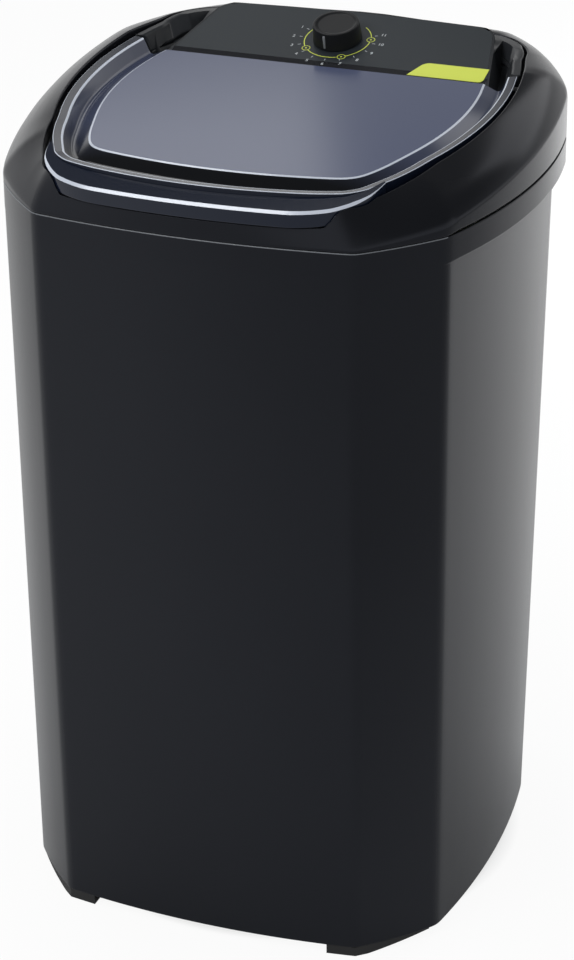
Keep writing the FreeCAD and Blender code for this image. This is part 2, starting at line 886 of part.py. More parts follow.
def hinge_relief(side):
    """Room in the seat ledge for the rear end of the lid as it swings down."""
    wall = side_reach(opening_plan, SIDE, hinge_y, 0.0)
    inner = wall - ledge_width - lid_gap
    x0, x1 = sorted((side * inner, side * (wall - fit_gap)))
    return box(x0, x1, hinge_y - hinge_sweep, hinge_y + hinge_sweep, hinge_z - hinge_sweep - 2, hinge_z)


def make_lid_hinge_pins():
    return group(both_sides(lambda side: hinge_line(side, hinge_pin_radius)))


# Lid
def lid_line(plane, front, sides):
    """Open line round the front and sides of the lid, from its rear left to its rear right end."""
    edges = plan_edges(lid_plan, plane, lid_insets(front, sides))
    return edges[4:] + edges[:3]


def line_ends(edges):
    return edges[0].Vertexes[0].Point, edges[-1].Vertexes[-1].Point


def ruled(first, second):
    return [Part.makeRuledSurface(a, b) for a, b in zip(first, second)]


def capped(edges):
    first, last = line_ends(edges)
    return Part.Face(Part.Wire(edges + [Part.LineSegment(last, first).toShape()]))


def make_lid_panel():
    """Thin moulding: skirt, flat rim, slope to the trough, and step up to the plateau."""
    upper = [
        lid_line(seat_plane, 0.0, 0.0),
        lid_line(rim_plane, 0.0, 0.0),
        lid_line(rim_plane, rim_width, rim_width),
        lid_line(trough_plane, trough_front_inset, trough_inset),
        lid_line(plateau_plane, plateau_front_inset, plateau_inset),
    ]
    lower = [
        lid_line(seat_plane, lid_wall, lid_wall),
        lid_line(shifted(rim_plane, -lid_wall), lid_wall, lid_wall),
        lid_line(shifted(rim_plane, -lid_wall), rim_width - lid_wall / 2, rim_width - lid_wall / 2),
        lid_line(shifted(trough_plane, -lid_wall), trough_front_inset, trough_inset),
        lid_line(shifted(plateau_plane, -lid_wall), plateau_front_inset + lid_wall, plateau_inset + lid_wall),
    ]
    faces = ruled(upper[0], lower[0]) + [capped(upper[-1]), capped(lower[-1])]
    for lines in (upper, lower):
        for first, second in zip(lines, lines[1:]):
            faces += ruled(first, second)
    left = [line_ends(line)[0] for line in upper]
    right = [line_ends(line)[1] for line in upper]
    left_under = [line_ends(line)[0] for line in lower]
    right_under = [line_ends(line)[1] for line in lower]
    end_profile = left + right[::-1] + right_under + left_under[::-1]
    faces.append(Part.Face(Part.makePolygon(end_profile + end_profile[:1])))
    skin = Part.makeCompound(faces)
    skin.sewShape()
    lid = Part.Solid(skin.Shells[0])
    if lid.Volume < 0:
        lid.reverse()
    for side in (-1, 1):
        lid = lid.fuse(hinge_block(side))
    for side in (-1, 1):
        lid = lid.cut(hinge_line(side, hinge_pin_radius + running_gap))
    return lid.removeSplitter()


def hinge_block(side):
    """Solid end inside the rim that turns on the hinge pin."""
    outer = side_reach(opening_plan, SIDE, hinge_y, lid_gap) - lid_wall / 2
    x0, x1 = sorted((side * outer, side * (outer - hinge_block_width)))
    low = height_on(seat_plane, hinge_y) + 1
    high = height_on(rim_plane, hinge_y - hinge_block_reach) - lid_wall / 2
    return box(x0, x1, hinge_y - hinge_block_reach, hinge_y + hinge_block_reach, low, high)


def make_lid_handle():
    """Front lip: a crescent shell in front of the lid's rim, open below for the fingers."""
    whole = prism(lip_plan, lip_low_plane, lip_top_plane)
    core_top = shifted(lip_top_plane, -lip_wall)
    core = prism(lip_plan, shifted(lip_low_plane, -1), core_top, lip_wall)
    low, high = level(0), level(2 * parting_height)
    whole = whole.cut(prism(lid_plan, low, high, -fit_gap))
    core = core.cut(prism(lid_plan, low, high, -fit_gap - lip_wall))
    return whole.cut(core).removeSplitter()


# Console
def console_screw_places():
    side_y = (lid_rear + opening_plan[0][2][1]) / 2 + 2 * console_ring_width / 3
    inset = lid_gap + console_ring_width / 3
    side_x = side_reach(opening_plan, SIDE, side_y, inset)
    rear_x = console_rear_half * 0.75
    rear = opening_plan[0][3]
    rear_y = rear[1] + opening_rear_bow * (1 - (rear_x / rear[0]) ** 2) - inset
    return [(side_x, side_y), (-side_x, side_y), (rear_x, rear_y), (-rear_x, rear_y)]


def on_fascia(across, up, out):
    """Point on the sloping console top, measured from the knob's place."""
    return knob_seat + V(across, 0, 0) + fascia_up * up + fascia_normal * out


def console_space(inset):
    """Room for the raised block: inside the ring below the seat, and inside the opening above it."""
    below = lid_gap + console_ring_width + inset
    seat, sky = shifted(seat_plane, inset), level(2 * parting_height)
    low = prism(opening_plan, level(0), seat, below)
    return low.fuse(prism(opening_plan, seat, sky, lid_gap + inset))


def make_console_housing():
    """Rear moulding: a ring that carries on the lid's rim, sunk valleys and a raised block."""
    ring_low = seat_plane
    outer_inset = lid_gap
    inner_inset = lid_gap + console_ring_width
    ring = rear_half(opening_plan, ring_low, rim_plane, outer_inset)
    ring = ring.cut(rear_half(opening_plan, level(0), level(2 * parting_height), inner_inset))
    rear_top = level(parting_height + rear_deck_rise)
    above = rear_half(opening_plan, rear_top, level(2 * parting_height), 0.0)
    floor_top = parting_height + valley_rise
    wall = rear_half(opening_plan, level(floor_top - console_wall), rim_plane, inner_inset - 0.5)
    wall = wall.cut(rear_half(opening_plan, level(0), level(2 * parting_height), inner_inset + console_wall))
    floor = rear_half(opening_plan, level(floor_top - console_wall), level(floor_top), inner_inset)
    base_insets = [-console_flare] * 6
    base_insets[5] = 0.0
    base_insets[2] = 0.0
    block = between(
        plan_wire(console_plan, level(floor_top - console_wall), base_insets),
        plan_wire(console_plan, fascia_plane),
    )
    inner_insets = [value + console_wall for value in base_insets]
    hollow = between(
        plan_wire(console_plan, level(floor_top - console_wall), inner_insets),
        plan_wire(console_plan, shifted(fascia_plane, -console_top), console_wall),
    )
    block = block.common(console_space(0.0))
    hollow = hollow.common(console_space(console_wall))
    recess_low, sky = shifted(fascia_plane, -fascia_recess), level(2 * parting_height)
    recess = prism(console_plan, recess_low, sky, fascia_inset)
    body = joined(ring.cut(above), wall.cut(above), floor, block).cut(hollow).cut(recess)
    body = body.cut(cylinder(timer_shaft_hole, on_fascia(0, 0, -overrun), on_fascia(0, 0, overrun)))
    for side in (-1, 1):
        axis = V(side * 2 * side_edge_half_width, hinge_y, hinge_z)
        body = body.cut(cylinder(hinge_sweep, V(side * console_front_half, hinge_y, hinge_z), axis))
        place = side * timer_screw_spacing / 2
        head_seat = on_fascia(place, 0, -fascia_recess - small_screw[1] - screw_gap)
        body = body.cut(cylinder(small_screw[0] + screw_gap, head_seat, on_fascia(place, 0, overrun)))
        body = body.cut(cylinder(small_screw[2] + screw_gap, on_fascia(place, 0, -overrun), head_seat))
    for x, y in console_screw_places():
        low = height_on(seat_plane, y)
        body = body.cut(upright(small_screw[2] + press_gap, x, y, low - 1, low + 5 * small_screw[2]))
    return body.removeSplitter()


def make_console_screws():
    solids = []
    for x, y in console_screw_places():
        grip = cover_wall + seat_gap + small_screw[0] * seat_plane[1]
        seat = height_on(seat_plane, y) - grip
        length = grip + 4 * small_screw[2]
        solids.append(screw(V(x, y, seat), (0, 0, 1), small_screw, length))
    return group(solids)


def make_fascia_panel():
    low = shifted(fascia_plane, -fascia_recess)
    panel = prism(console_plan, low, shifted(low, fascia_thickness), fascia_inset + fascia_gap)
    return panel.cut(cylinder(timer_shaft_hole, on_fascia(0, 0, -overrun), on_fascia(0, 0, overrun)))


def make_fascia_badge():
    """Thin bare plate with two rounded corners on the right of the fascia's front edge."""
    front = lid_rear + lid_rear_gap
    surface = fascia_thickness - fascia_recess

    def place(x, up):
        y = front + up * math.cos(fascia_tilt)
        return V(x, y, height_on(fascia_plane, y)) + fascia_normal * surface

    near, far = badge_start, badge_start + badge_length
    diagonal = badge_corner * 0.3
    first_turn = [
        place(badge_left + badge_slant - badge_corner * 0.4, far - badge_corner),
        place(badge_left + badge_slant + diagonal, far - diagonal),
        place(badge_left + badge_slant + badge_corner, far),
    ]
    second_turn = [
        place(badge_right, near + badge_corner),
        place(badge_right - diagonal, near + diagonal),
        place(badge_right - badge_corner, near),
    ]
    start = place(badge_left, near)
    corner = place(badge_right, far)
    edges = [
        Part.LineSegment(start, first_turn[0]).toShape(),
        Part.Arc(*first_turn).toShape(),
        Part.LineSegment(first_turn[2], corner).toShape(),
        Part.LineSegment(corner, second_turn[0]).toShape(),
        Part.Arc(*second_turn).toShape(),
        Part.LineSegment(second_turn[2], start).toShape(),
    ]
    return Part.Face(Part.Wire(edges)).extrude(fascia_normal * badge_thickness)


def on_knob_axis(solid):
    """Solid modelled upright at the origin, set on the fascia at the knob's place."""
    solid = solid.copy()
    solid.rotate(V(0, 0, 0), V(1, 0, 0), math.degrees(fascia_tilt))
    solid.translate(knob_seat)
    return solid


knob_low = fascia_thickness - fascia_recess + knob_lift


def make_timer_knob():
    high = knob_low + knob_height
    rim = knob_radius - knob_taper
    cup = turned([
        (0, high - knob_dish), (rim - 2 * knob_wall, high - knob_dish), (rim - knob_wall, high),
        (rim - knob_wall / 3, high), (rim, high - knob_wall / 3), (knob_radius, knob_low),
        (knob_radius - knob_wall, knob_low), (rim - knob_wall, high - knob_dish - knob_wall),
        (0, high - knob_dish - knob_wall),
    ])
    stem_low = high - knob_dish - knob_stem_depth
    stem = upright(knob_stem_radius, 0, 0, stem_low, high - knob_dish - knob_wall / 2)
    half = knob_mark_width / 2
    mark_back = -rim + knob_wall / 2
    mark = box(-half, half, -knob_radius - knob_mark_proud, mark_back, knob_low + knob_wall, high - knob_wall)
    mark.rotate(V(0, 0, 0), V(0, 0, 1), knob_mark_turn)
    bore = upright(timer_shaft_radius + press_gap, 0, 0, stem_low - 1, high - knob_dish - knob_wall)
    return on_knob_axis(joined(cup, stem, mark).cut(bore))


def make_timer_shaft():
    high = knob_low + knob_height - knob_dish - knob_wall - fit_gap
    low = -console_top - timer_shaft_in_body
    return on_knob_axis(upright(timer_shaft_radius, 0, 0, low, high))


def make_timer_body():
    half = timer_size / 2
    top = -console_top
    body = box(-half, half, -half, half, top - timer_depth, top)
    terminals = box(-half / 2, half / 2, -half / 3, half / 3, top - timer_depth - half / 3, top - timer_depth)
    body = joined(body, terminals)
    low = top - timer_shaft_in_body - 1
    body = body.cut(upright(timer_shaft_radius + running_gap, 0, 0, low, top + 1))
    for side in (-1, 1):
        x = side * timer_screw_spacing / 2
        body = body.cut(upright(small_screw[2] + press_gap, x, 0, top - 5 * small_screw[2], top + 1))
    return on_knob_axis(body)


def make_timer_screws():
    top = -fascia_recess - small_screw[1] - screw_gap
    length = console_top + top + 4 * small_screw[2]
    solids = []
    for side in (-1, 1):
        seat = V(side * timer_screw_spacing / 2, 0, top)
        solids.append(on_knob_axis(screw(seat, (0, 0, -1), small_screw, length)))
    return group(solids)


# Wash tub and lint filter
def tub_profile(extra):
    """Half section of the drum, grown outwards by extra."""
    floor = tub_floor - extra
    slope = (tub_radius - tub_floor_radius) / tub_depth
    knee = tub_floor_radius + extra + slope * tub_corner
    return [
        (0, floor), (tub_floor_radius + extra - tub_corner, floor), (knee, floor + tub_corner),
        (tub_radius + extra, tub_top), (0, tub_top),
    ]


def around(count, radius, offset=0.0):
    places = []
    for step in range(count):
        angle = 2 * math.pi * step / count + offset
        places.append((radius * math.cos(angle), radius * math.sin(angle)))
    return places


def housing_bolt_places():
    return around(housing_bolts, housing_bolt_circle, math.pi / housing_bolts)


def bracket_screw_places():
    return [(sx * bracket_screw_x, sy * bracket_screw_y) for sx in (-1, 1) for sy in (-1, 1)]


def tub_screw_places():
    places = []
    for y in (-side_edge_depth / 3, side_edge_depth / 3):
        inner = side_reach(wall_plan, SIDE, y, cabinet_wall)
        outer = side_reach(rim_plan, SIDE, y, cabinet_wall)
        x = (inner + outer) / 2
        places += [(-x, y), (x, y)]
    return places


filter_low = tub_floor + filter_bottom_rise


def filter_guides():
    """Two channels and a shelf on the tub's left wall."""
    back = -tub_radius - tub_wall
    inner = filter_half_width + filter_gap
    lip_back = filter_front_x + filter_gap
    low, high = filter_low - guide_thickness, filter_low + filter_height + guide_extra
    solids = []
    for side in (-1, 1):
        y0, y1 = sorted((side * inner, side * (inner + guide_thickness)))
        solids.append(box(back, lip_back + guide_thickness, y0, y1, low, high))
        y0, y1 = sorted((side * (inner - guide_lip), side * (inner + guide_thickness)))
        solids.append(box(lip_back, lip_back + guide_thickness, y0, y1, low, high))
    solids.append(box(back, lip_back + guide_thickness, -inner, inner, low, filter_low - filter_gap))
    return solids[0].fuse(solids[1:])


def make_wash_tub():
    outer = turned(tub_profile(tub_wall))
    flange = prism(rim_plan, level(ledge_top), level(tub_top), cabinet_wall + fit_gap)
    inner = turned(tub_profile(0.0))
    mouth = upright(tub_radius, 0, 0, tub_top - 1, tub_top + 1)
    tub = outer.fuse(flange).cut(inner).cut(mouth)
    additions = [filter_guides().common(outer)]
    for x, y in housing_bolt_places():
        additions.append(upright(boss_radius, x, y, tub_under, tub_floor + housing_boss_height))
    for x, y in bracket_screw_places():
        additions.append(upright(boss_radius, x, y, tub_under, tub_floor + bracket_boss_height))
    tub = tub.fuse(additions)
    tub = tub.cut(upright(tub_neck_hole, 0, 0, tub_under - 1, tub_floor + 1))
    tub = tub.cut(upright(drain_pipe - 1, drain_x, drain_y, tub_under - 1, tub_floor + 1))
    for x, y in housing_bolt_places():
        tub = tub.cut(upright(bolt[2] + press_gap, x, y, tub_under - 1, tub_floor + housing_boss_height - 1))
    for x, y in bracket_screw_places():
        pilot = cover_screw[2] + press_gap
        tub = tub.cut(upright(pilot, x, y, tub_under - 1, tub_floor + bracket_boss_height - 1))
    for x, y in cover_screw_places() + tub_screw_places():
        tub = tub.cut(upright(cover_screw[2] + screw_gap, x, y, ledge_top - 1, tub_top + 1))
    return tub.removeSplitter()


def make_filter_frame():
    back = filter_front_x - filter_thickness
    half = filter_half_width
    high = filter_low + filter_height
    frame = box(back, filter_front_x, -half, half, filter_low, high)
    window = half - filter_frame
    window_low, window_high = filter_low + filter_frame, high - filter_frame
    frame = frame.cut(box(back - 1, filter_front_x + 1, -window, window, window_low, window_high))
    tab = box(back, back + filter_frame / 2, -tab_width / 2, tab_width / 2, high - 1, high + tab_height)
    return joined(frame, tab)


def make_filter_mesh():
    window = filter_half_width - filter_frame - press_gap
    low = filter_low + filter_frame + press_gap
    high = filter_low + filter_height - filter_frame - press_gap
    middle = filter_front_x - filter_thickness / 2
    plate = box(middle, middle + mesh_thickness, -window, window, low, high)
    step_y = (2 * window - mesh_bar) / mesh_columns
    step_z = (high - low - mesh_bar) / mesh_rows
    holes = []
    for column in range(mesh_columns):
        for row in range(mesh_rows):
            y = -window + mesh_bar + column * step_y
            z = low + mesh_bar + row * step_z
            y_end, z_end = y + step_y - mesh_bar, z + step_z - mesh_bar
            holes.append(box(middle - 1, middle + mesh_thickness + 1, y, y_end, z, z_end))
    return plate.cut(holes)


# Impeller and its shaft
impeller_low = tub_floor + impeller_rise
hub_top = impeller_low + impeller_height
shaft_top = tub_floor + shaft_reach
shaft_low = shaft_top - shaft_length


def make_impeller():
    edge = impeller_low + impeller_edge
    middle = (impeller_radius + hub_radius) * 0.45
    middle_height = edge + (hub_top - edge) * 0.45
    shell = turned([
        (shaft_radius * 2, hub_top), (hub_radius + impeller_edge, hub_top), (middle, middle_height),
        (impeller_radius - impeller_edge, edge + impeller_edge / 2), (impeller_radius, edge),
        (impeller_radius, impeller_low), (impeller_radius - impeller_shell, impeller_low),
        (impeller_radius - impeller_edge, edge - impeller_shell / 2),
        (middle, middle_height - impeller_shell),
        (shaft_radius * 2, hub_top - impeller_shell - impeller_edge),
    ])
    hub = upright(hub_radius, 0, 0, impeller_low + impeller_rise, hub_top)
    blades = []
    for step in range(impeller_blades):
        profile = [
            V(hub_radius, 0, hub_top - impeller_shell), V(middle, 0, middle_height - impeller_shell / 2),
            V(impeller_radius - 2 * impeller_edge, 0, edge),
            V(impeller_radius - 2 * impeller_edge, 0, edge + impeller_edge),
            V(middle + hub_radius, 0, middle_height + blade_height * 0.7),
            V(2 * hub_radius, 0, hub_top + blade_height * 0.8),
            V(hub_radius, 0, hub_top + blade_height * 0.5),
        ]
        blade = Part.Face(Part.makePolygon(profile + profile[:1])).extrude(V(0, blade_width, 0))
        blade.translate(V(0, -blade_width / 2, 0))
        blade.rotate(V(0, 0, 0), V(0, 0, 1), 360.0 * step / impeller_blades)
        blades.append(blade)
    body = joined(shell, hub, *blades)
    seat = shaft_top + impeller_web
    body = body.cut(upright(shaft_radius + press_gap, 0, 0, impeller_low, shaft_top))
    body = body.cut(upright(bolt[2] + screw_gap, 0, 0, shaft_top - 1, seat + 1))
    return body.cut(upright(bolt[0] + screw_gap, 0, 0, seat, hub_top + 1))


def make_impeller_screw():
    seat = V(0, 0, shaft_top + impeller_web)
    return screw(seat, (0, 0, -1), (bolt[0], hub_top - seat.z - 1, bolt[2]), impeller_screw_length)


def make_impeller_cap():
    rim = hub_radius - 2
    return turned([
        (0, hub_top), (rim, hub_top), (rim, hub_top + cap_height / 2), (rim / 2, hub_top + cap_height),
        (0, hub_top + cap_height),
    ])


def make_impeller_shaft():
    shaft = upright(shaft_radius, 0, 0, shaft_low, shaft_top)
    depth = impeller_screw_length - impeller_web + 2
    return shaft.cut(upright(bolt[2] + press_gap, 0, 0, shaft_top - depth, shaft_top + 1))


# Bearing housing
housing_top = tub_floor + housing_neck_rise
housing_seat = tub_under - bracket_thickness
housing_low = housing_seat - housing_length


def make_bearing_housing():
    flange_low = housing_seat - housing_flange
    body = joined(
        upright(housing_tube, 0, 0, housing_low, flange_low),
        upright(housing_flange_radius, 0, 0, flange_low, housing_seat),
        upright(housing_neck, 0, 0, housing_seat, housing_top),
    )
    gussets = []
    for step in range(housing_bolts):
        profile = [
            V(housing_tube - 1, 0, flange_low), V(housing_flange_radius - bolt[0], 0, flange_low),
            V(housing_tube - 1, 0, flange_low - housing_length / 3),
        ]
        gusset = Part.Face(Part.makePolygon(profile + profile[:1])).extrude(V(0, housing_flange, 0))
        gusset.translate(V(0, -housing_flange / 2, 0))
        gusset.rotate(V(0, 0, 0), V(0, 0, 1), 360.0 * step / housing_bolts)
        gussets.append(gusset)
    body = body.fuse(gussets)
    seal_seat = housing_top - seal_height
    body = body.cut(upright(housing_relief, 0, 0, housing_low, housing_top))
    body = body.cut(upright(seal_radius + press_gap, 0, 0, seal_seat, housing_top + 1))
    body = body.cut(upright(bush_radius + press_gap, 0, 0, seal_seat - bush_length, seal_seat + 1))
    body = body.cut(upright(bush_radius + press_gap, 0, 0, housing_low - 1, housing_low + bush_length))
    for x, y in housing_bolt_places():
        body = body.cut(upright(bolt[2] + screw_gap, x, y, flange_low - 1, housing_seat + 1))
    return body.removeSplitter()


def make_bush(low):
    return pipe(bush_radius, shaft_radius + running_gap, V(0, 0, low), V(0, 0, low + bush_length))


def make_shaft_seal():
    low = V(0, 0, housing_top - seal_height)
    return pipe(seal_radius, shaft_radius + running_gap, low, V(0, 0, housing_top))


def make_housing_bolts():
    seat = housing_seat - housing_flange
    length = tub_floor + housing_boss_height - 3 - seat
    return group(screw(V(x, y, seat), (0, 0, 1), bolt, length) for x, y in housing_bolt_places())


# Motor bracket
mount_top = tub_under - bracket_thickness


def motor_bolt_places():
    places = around(4, lug_circle, math.pi / 4)
    return [(x, y + motor_distance) for x, y in places]


capacitor_x = bracket_half_width + clip_wall + capacitor_radius + fit_gap
capacitor_y = motor_distance - ear_width / 2


def make_motor_bracket():
    plate = box(-bracket_half_width, bracket_half_width, -bracket_front, bracket_rear, mount_top, tub_under)
    half = bracket_half_width
    folds = []
    for side in (-1, 1):
        x0, x1 = sorted((side * half, side * (half - bracket_thickness)))
        folds.append(box(x0, x1, -bracket_front, bracket_rear, mount_top - bracket_fold, mount_top + 1))
    y0, y1 = capacitor_y - ear_width / 2, capacitor_y + ear_width / 2
    folds.append(box(half - bracket_thickness, half, y0, y1, mount_top - ear_length, mount_top))
    plate = plate.fuse(folds)
    plate = plate.cut(upright(tub_neck_hole + 2, 0, 0, mount_top - 1, tub_under + 1))
    for x, y in housing_bolt_places():
        plate = plate.cut(upright(bolt[2] + screw_gap, x, y, mount_top - 1, tub_under + 1))
    for x, y in bracket_screw_places():
        plate = plate.cut(upright(cover_screw[2] + screw_gap, x, y, mount_top - 1, tub_under + 1))
    for x, y in motor_bolt_places():
        plate = plate.cut(upright(bolt[2] + press_gap, x, y, mount_top - 1, tub_under + 1))
    return plate.removeSplitter()


def make_bracket_screws():
    length = tub_floor + bracket_boss_height - 3 - mount_top
    return group(screw(V(x, y, mount_top), (0, 0, 1), cover_screw, length) for x, y in bracket_screw_places())


# Motor
shield_top = mount_top - mount_height
can_top = shield_top - motor_shield
can_low = can_top - motor_can_height
shield_low = can_low - motor_shield
core_low = (can_top + can_low - stator_height) / 2
core_top = core_low + stator_height


def at_motor(radius, low, high):
    return upright(radius, 0, motor_distance, low, high)


def make_motor_mounts():
    solids = []
    for x, y in motor_bolt_places():
        solids.append(pipe(mount_radius, bolt[2] + screw_gap, V(x, y, shield_top), V(x, y, mount_top)))
    return group(solids)


def make_motor_bolts():
    seat = shield_top - lug_thickness
    length = tub_under - seat - fit_gap
    return group(screw(V(x, y, seat), (0, 0, 1), bolt, length) for x, y in motor_bolt_places())


def make_motor_can():
    can = at_motor(motor_radius, can_low, can_top)
    return can.cut(at_motor(motor_radius - motor_can_wall, can_low, can_top))


def make_end_shield(low, high, lugs):
    shield = at_motor(motor_radius, low, high)
    if lugs:
        arms = []
        for x, y in motor_bolt_places():
            arms.append(upright(lug_radius, x, y, high - lug_thickness, high))
            web = box(0, lug_circle, -lug_radius, lug_radius, high - lug_thickness, high)
            web.rotate(V(0, 0, 0), V(0, 0, 1), math.degrees(math.atan2(y - motor_distance, x)))
            web.translate(V(0, motor_distance, 0))
            arms.append(web)
        shield = shield.fuse(arms)
        for x, y in motor_bolt_places():
            shield = shield.cut(upright(bolt[2] + screw_gap, x, y, low - 1, high + 1))
    return shield.cut(at_motor(motor_shaft_radius + running_gap, low - 1, high + 1)).removeSplitter()


def make_stator_core():
    core = at_motor(motor_radius - motor_can_wall - press_gap, core_low, core_top)
    return core.cut(at_motor(stator_bore, core_low, core_top))


def make_stator_windings():
    solids = []
    outer = motor_radius - motor_can_wall - winding_inset
    for low in (core_top, core_low - winding_height):
        ring = at_motor(outer, low, low + winding_height)
        solids.append(ring.cut(at_motor(stator_bore + winding_inset, low, low + winding_height)))
    return group(solids)


def make_rotor_core():
    core = at_motor(stator_bore - rotor_gap, core_low, core_top)
    return core.cut(at_motor(motor_shaft_radius + press_gap, core_low, core_top))


motor_pulley_low = belt_height - pulley_rim


def make_motor_shaft():
    return at_motor(motor_shaft_radius, motor_pulley_low, shield_top - fit_gap)


def make_capacitor():
    high = mount_top - bracket_fold
    body = upright(capacitor_radius, capacitor_x, capacitor_y, high - capacitor_height, high)
    pins = []
    for side in (-1, 1):
        y = capacitor_y + side * capacitor_radius / 2
        low = high - capacitor_height
        half_width, half_thickness = terminal[0] / 2, terminal[1] / 2
        pins.append(box(
            capacitor_x - half_width, capacitor_x + half_width, y - half_thickness, y + half_thickness,
            low - terminal[2], low,
        ))
    return joined(body, *pins)


def make_capacitor_clip():
    low = mount_top - ear_length + fit_gap
    start, end = V(capacitor_x, capacitor_y, low), V(capacitor_x, capacitor_y, low + clip_height)
    outer = capacitor_radius + fit_gap / 2 + clip_wall
    half = ear_width / 3
    tab = box(bracket_half_width, capacitor_x, capacitor_y - half, capacitor_y + half, low, low + clip_height)
    ring = cylinder(outer, start, end).fuse(tab)
    return ring.cut(cylinder(capacitor_radius + fit_gap / 2, start, end)).removeSplitter()


# Belt drive
def pulley(pitch, bore, hub_radius_size, hub_low, hub_high, web):
    """Grooved pulley in the belt plane, about the upright axis through the origin."""
    groove = pitch - belt_thickness / 2 - belt_gap
    rim = pitch + belt_thickness / 2 - 1
    half = belt_width / 2 + belt_gap
    edge = half + pulley_flange
    inner = max(groove - pulley_rim, hub_radius_size)
    ring = upright(rim, 0, 0, belt_height - edge, belt_height + edge)
    groove_ring = pipe(rim + 1, groove, V(0, 0, belt_height - half), V(0, 0, belt_height + half))
    ring = ring.cut(groove_ring)
    if inner > hub_radius_size:
        ring = ring.cut(upright(inner, 0, 0, belt_height - edge, belt_height + edge))
        ring = ring.fuse(upright(inner + 1, 0, 0, belt_height - web / 2, belt_height + web / 2))
    body = ring.fuse(upright(hub_radius_size, 0, 0, hub_low, hub_high))
    return body.cut(upright(bore, 0, 0, hub_low - edge, hub_high + edge)).removeSplitter()


pulley_hub_top = belt_height + pulley_hub_height / 2
pulley_hub_low = belt_height - pulley_hub_height / 2


def make_driven_pulley():
    body = pulley(
        driven_pitch_radius, shaft_radius + press_gap, pulley_hub_radius,
        pulley_hub_low, pulley_hub_top, pulley_web,
    )
    middle = (driven_pitch_radius - pulley_rim + pulley_hub_radius) / 2
    for x, y in around(pulley_holes, middle):
        body = body.cut(upright(pulley_hole_radius, x, y, belt_height - pulley_web, belt_height + pulley_web))
    return body


def make_motor_pulley():
    body = pulley(
        motor_pitch_radius, motor_shaft_radius + press_gap, motor_pitch_radius - belt_thickness,
        motor_pulley_low, belt_height + pulley_rim, pulley_web,
    )
    body.translate(V(0, motor_distance, 0))
    return body


def make_pulley_nut():
    """Hexagon nut on the lower end of the impeller shaft."""
    corners = []
    for x, y in around(6, nut_radius):
        corners.append(V(x, y, pulley_hub_low - nut_height))
    nut = Part.Face(Part.makePolygon(corners + corners[:1])).extrude(V(0, 0, nut_height))
    return nut.cut(upright(shaft_radius + press_gap, 0, 0, pulley_hub_low - nut_height, pulley_hub_low))


def belt_outline(large, small):
    """Loop round both pulleys: two arcs and the two straight runs that touch them."""
    lean = math.asin((large - small) / motor_distance)
    level_z = belt_height - belt_width / 2

    def touch(centre_y, radius, side):
        return V(side * radius * math.cos(lean), centre_y + radius * math.sin(lean), level_z)

    left_large, right_large = touch(0, large, -1), touch(0, large, 1)
    left_small, right_small = touch(motor_distance, small, -1), touch(motor_distance, small, 1)
    edges = [
        Part.Arc(left_large, V(0, -large, level_z), right_large).toShape(),
        Part.LineSegment(right_large, right_small).toShape(),
        Part.Arc(right_small, V(0, motor_distance + small, level_z), left_small).toShape(),
        Part.LineSegment(left_small, left_large).toShape(),
    ]
    return Part.Face(Part.Wire(edges)).extrude(V(0, 0, belt_width))


def make_drive_belt():
    half = belt_thickness / 2
    outer = belt_outline(driven_pitch_radius + half, motor_pitch_radius + half)
    return outer.cut(belt_outline(driven_pitch_radius - half, motor_pitch_radius - half))


# Drain
elbow_end = drain_y + drain_bend + drain_run
hose_start = elbow_end - hose_overlap
hose_end = pocket_floor - cabinet_wall - outlet_nut_length - fit_gap


def make_drain_strainer():
    radius = drain_pipe + 3
    disc = upright(radius, drain_x, drain_y, tub_floor, tub_floor + strainer_thickness)
    for step in range(strainer_slots):
        y = drain_y + (step - (strainer_slots - 1) / 2) * 2 * strainer_slot_width
        half = drain_bore * 0.7
        low = tub_floor - 1
        high = low + 3 * strainer_thickness
        slot = box(drain_x - half, drain_x + half, y, y + strainer_slot_width, low, high)
        disc = disc.cut(slot)
    return disc


def elbow_run(radius, start_extra, end_extra):
    """Round bar down from the tub floor and back towards the rear."""
    bend_top = tub_under - drain_drop
    straight = upright(radius, drain_x, drain_y, bend_top, tub_under + start_extra)
    corner = Part.makeTorus(drain_bend, radius, V(drain_x, drain_y + drain_bend, bend_top), V(1, 0, 0))
    reach = drain_bend + radius + 1
    keep = box(
        drain_x - reach, drain_x + reach, drain_y - reach, drain_y + drain_bend, bend_top - reach, bend_top,
    )
    run_start = V(drain_x, drain_y + drain_bend, hose_z)
    run = cylinder(radius, run_start, V(drain_x, elbow_end + end_extra, hose_z))
    return joined(straight, corner.common(keep), run)


def make_drain_elbow():
    flange = upright(drain_flange_radius, drain_x, drain_y, tub_under - drain_flange, tub_under)
    return joined(elbow_run(drain_pipe, 0, 0), flange).cut(elbow_run(drain_bore, 1, 1))


def make_drain_hose():
    inner = drain_pipe + hose_gap
    return pipe(inner + hose_wall, inner, V(drain_x, hose_start, hose_z), V(drain_x, hose_end, hose_z))


def make_hose_clamps():
    inner = drain_pipe + 2 * hose_gap + hose_wall
    solids = []
    for middle in (hose_start + hose_overlap / 2, hose_end - hose_overlap / 2):
        low, high = middle - clamp_width / 2, middle + clamp_width / 2
        band = pipe(inner + clamp_wall, inner, V(drain_x, low, hose_z), V(drain_x, high, hose_z))
        lug_low = hose_z + inner + clamp_wall / 2
        half = clamp_lug / 2
        lug = box(drain_x - half, drain_x + half, low, high, lug_low, lug_low + clamp_lug)
        solids.append(band.fuse(lug).removeSplitter())
    return group(solids)


# Screws of the top cover and the tub flange
def make_cover_screws():
    length = tub_wall + 5 * cover_screw[2]
    return group(screw(V(x, y, ledge_top), (0, 0, 1), cover_screw, length) for x, y in cover_screw_places())


def make_tub_screws():
    length = tub_wall + cabinet_wall - 2 * press_gap
    return group(screw(V(x, y, tub_top), (0, 0, -1), cover_screw, length) for x, y in tub_screw_places())


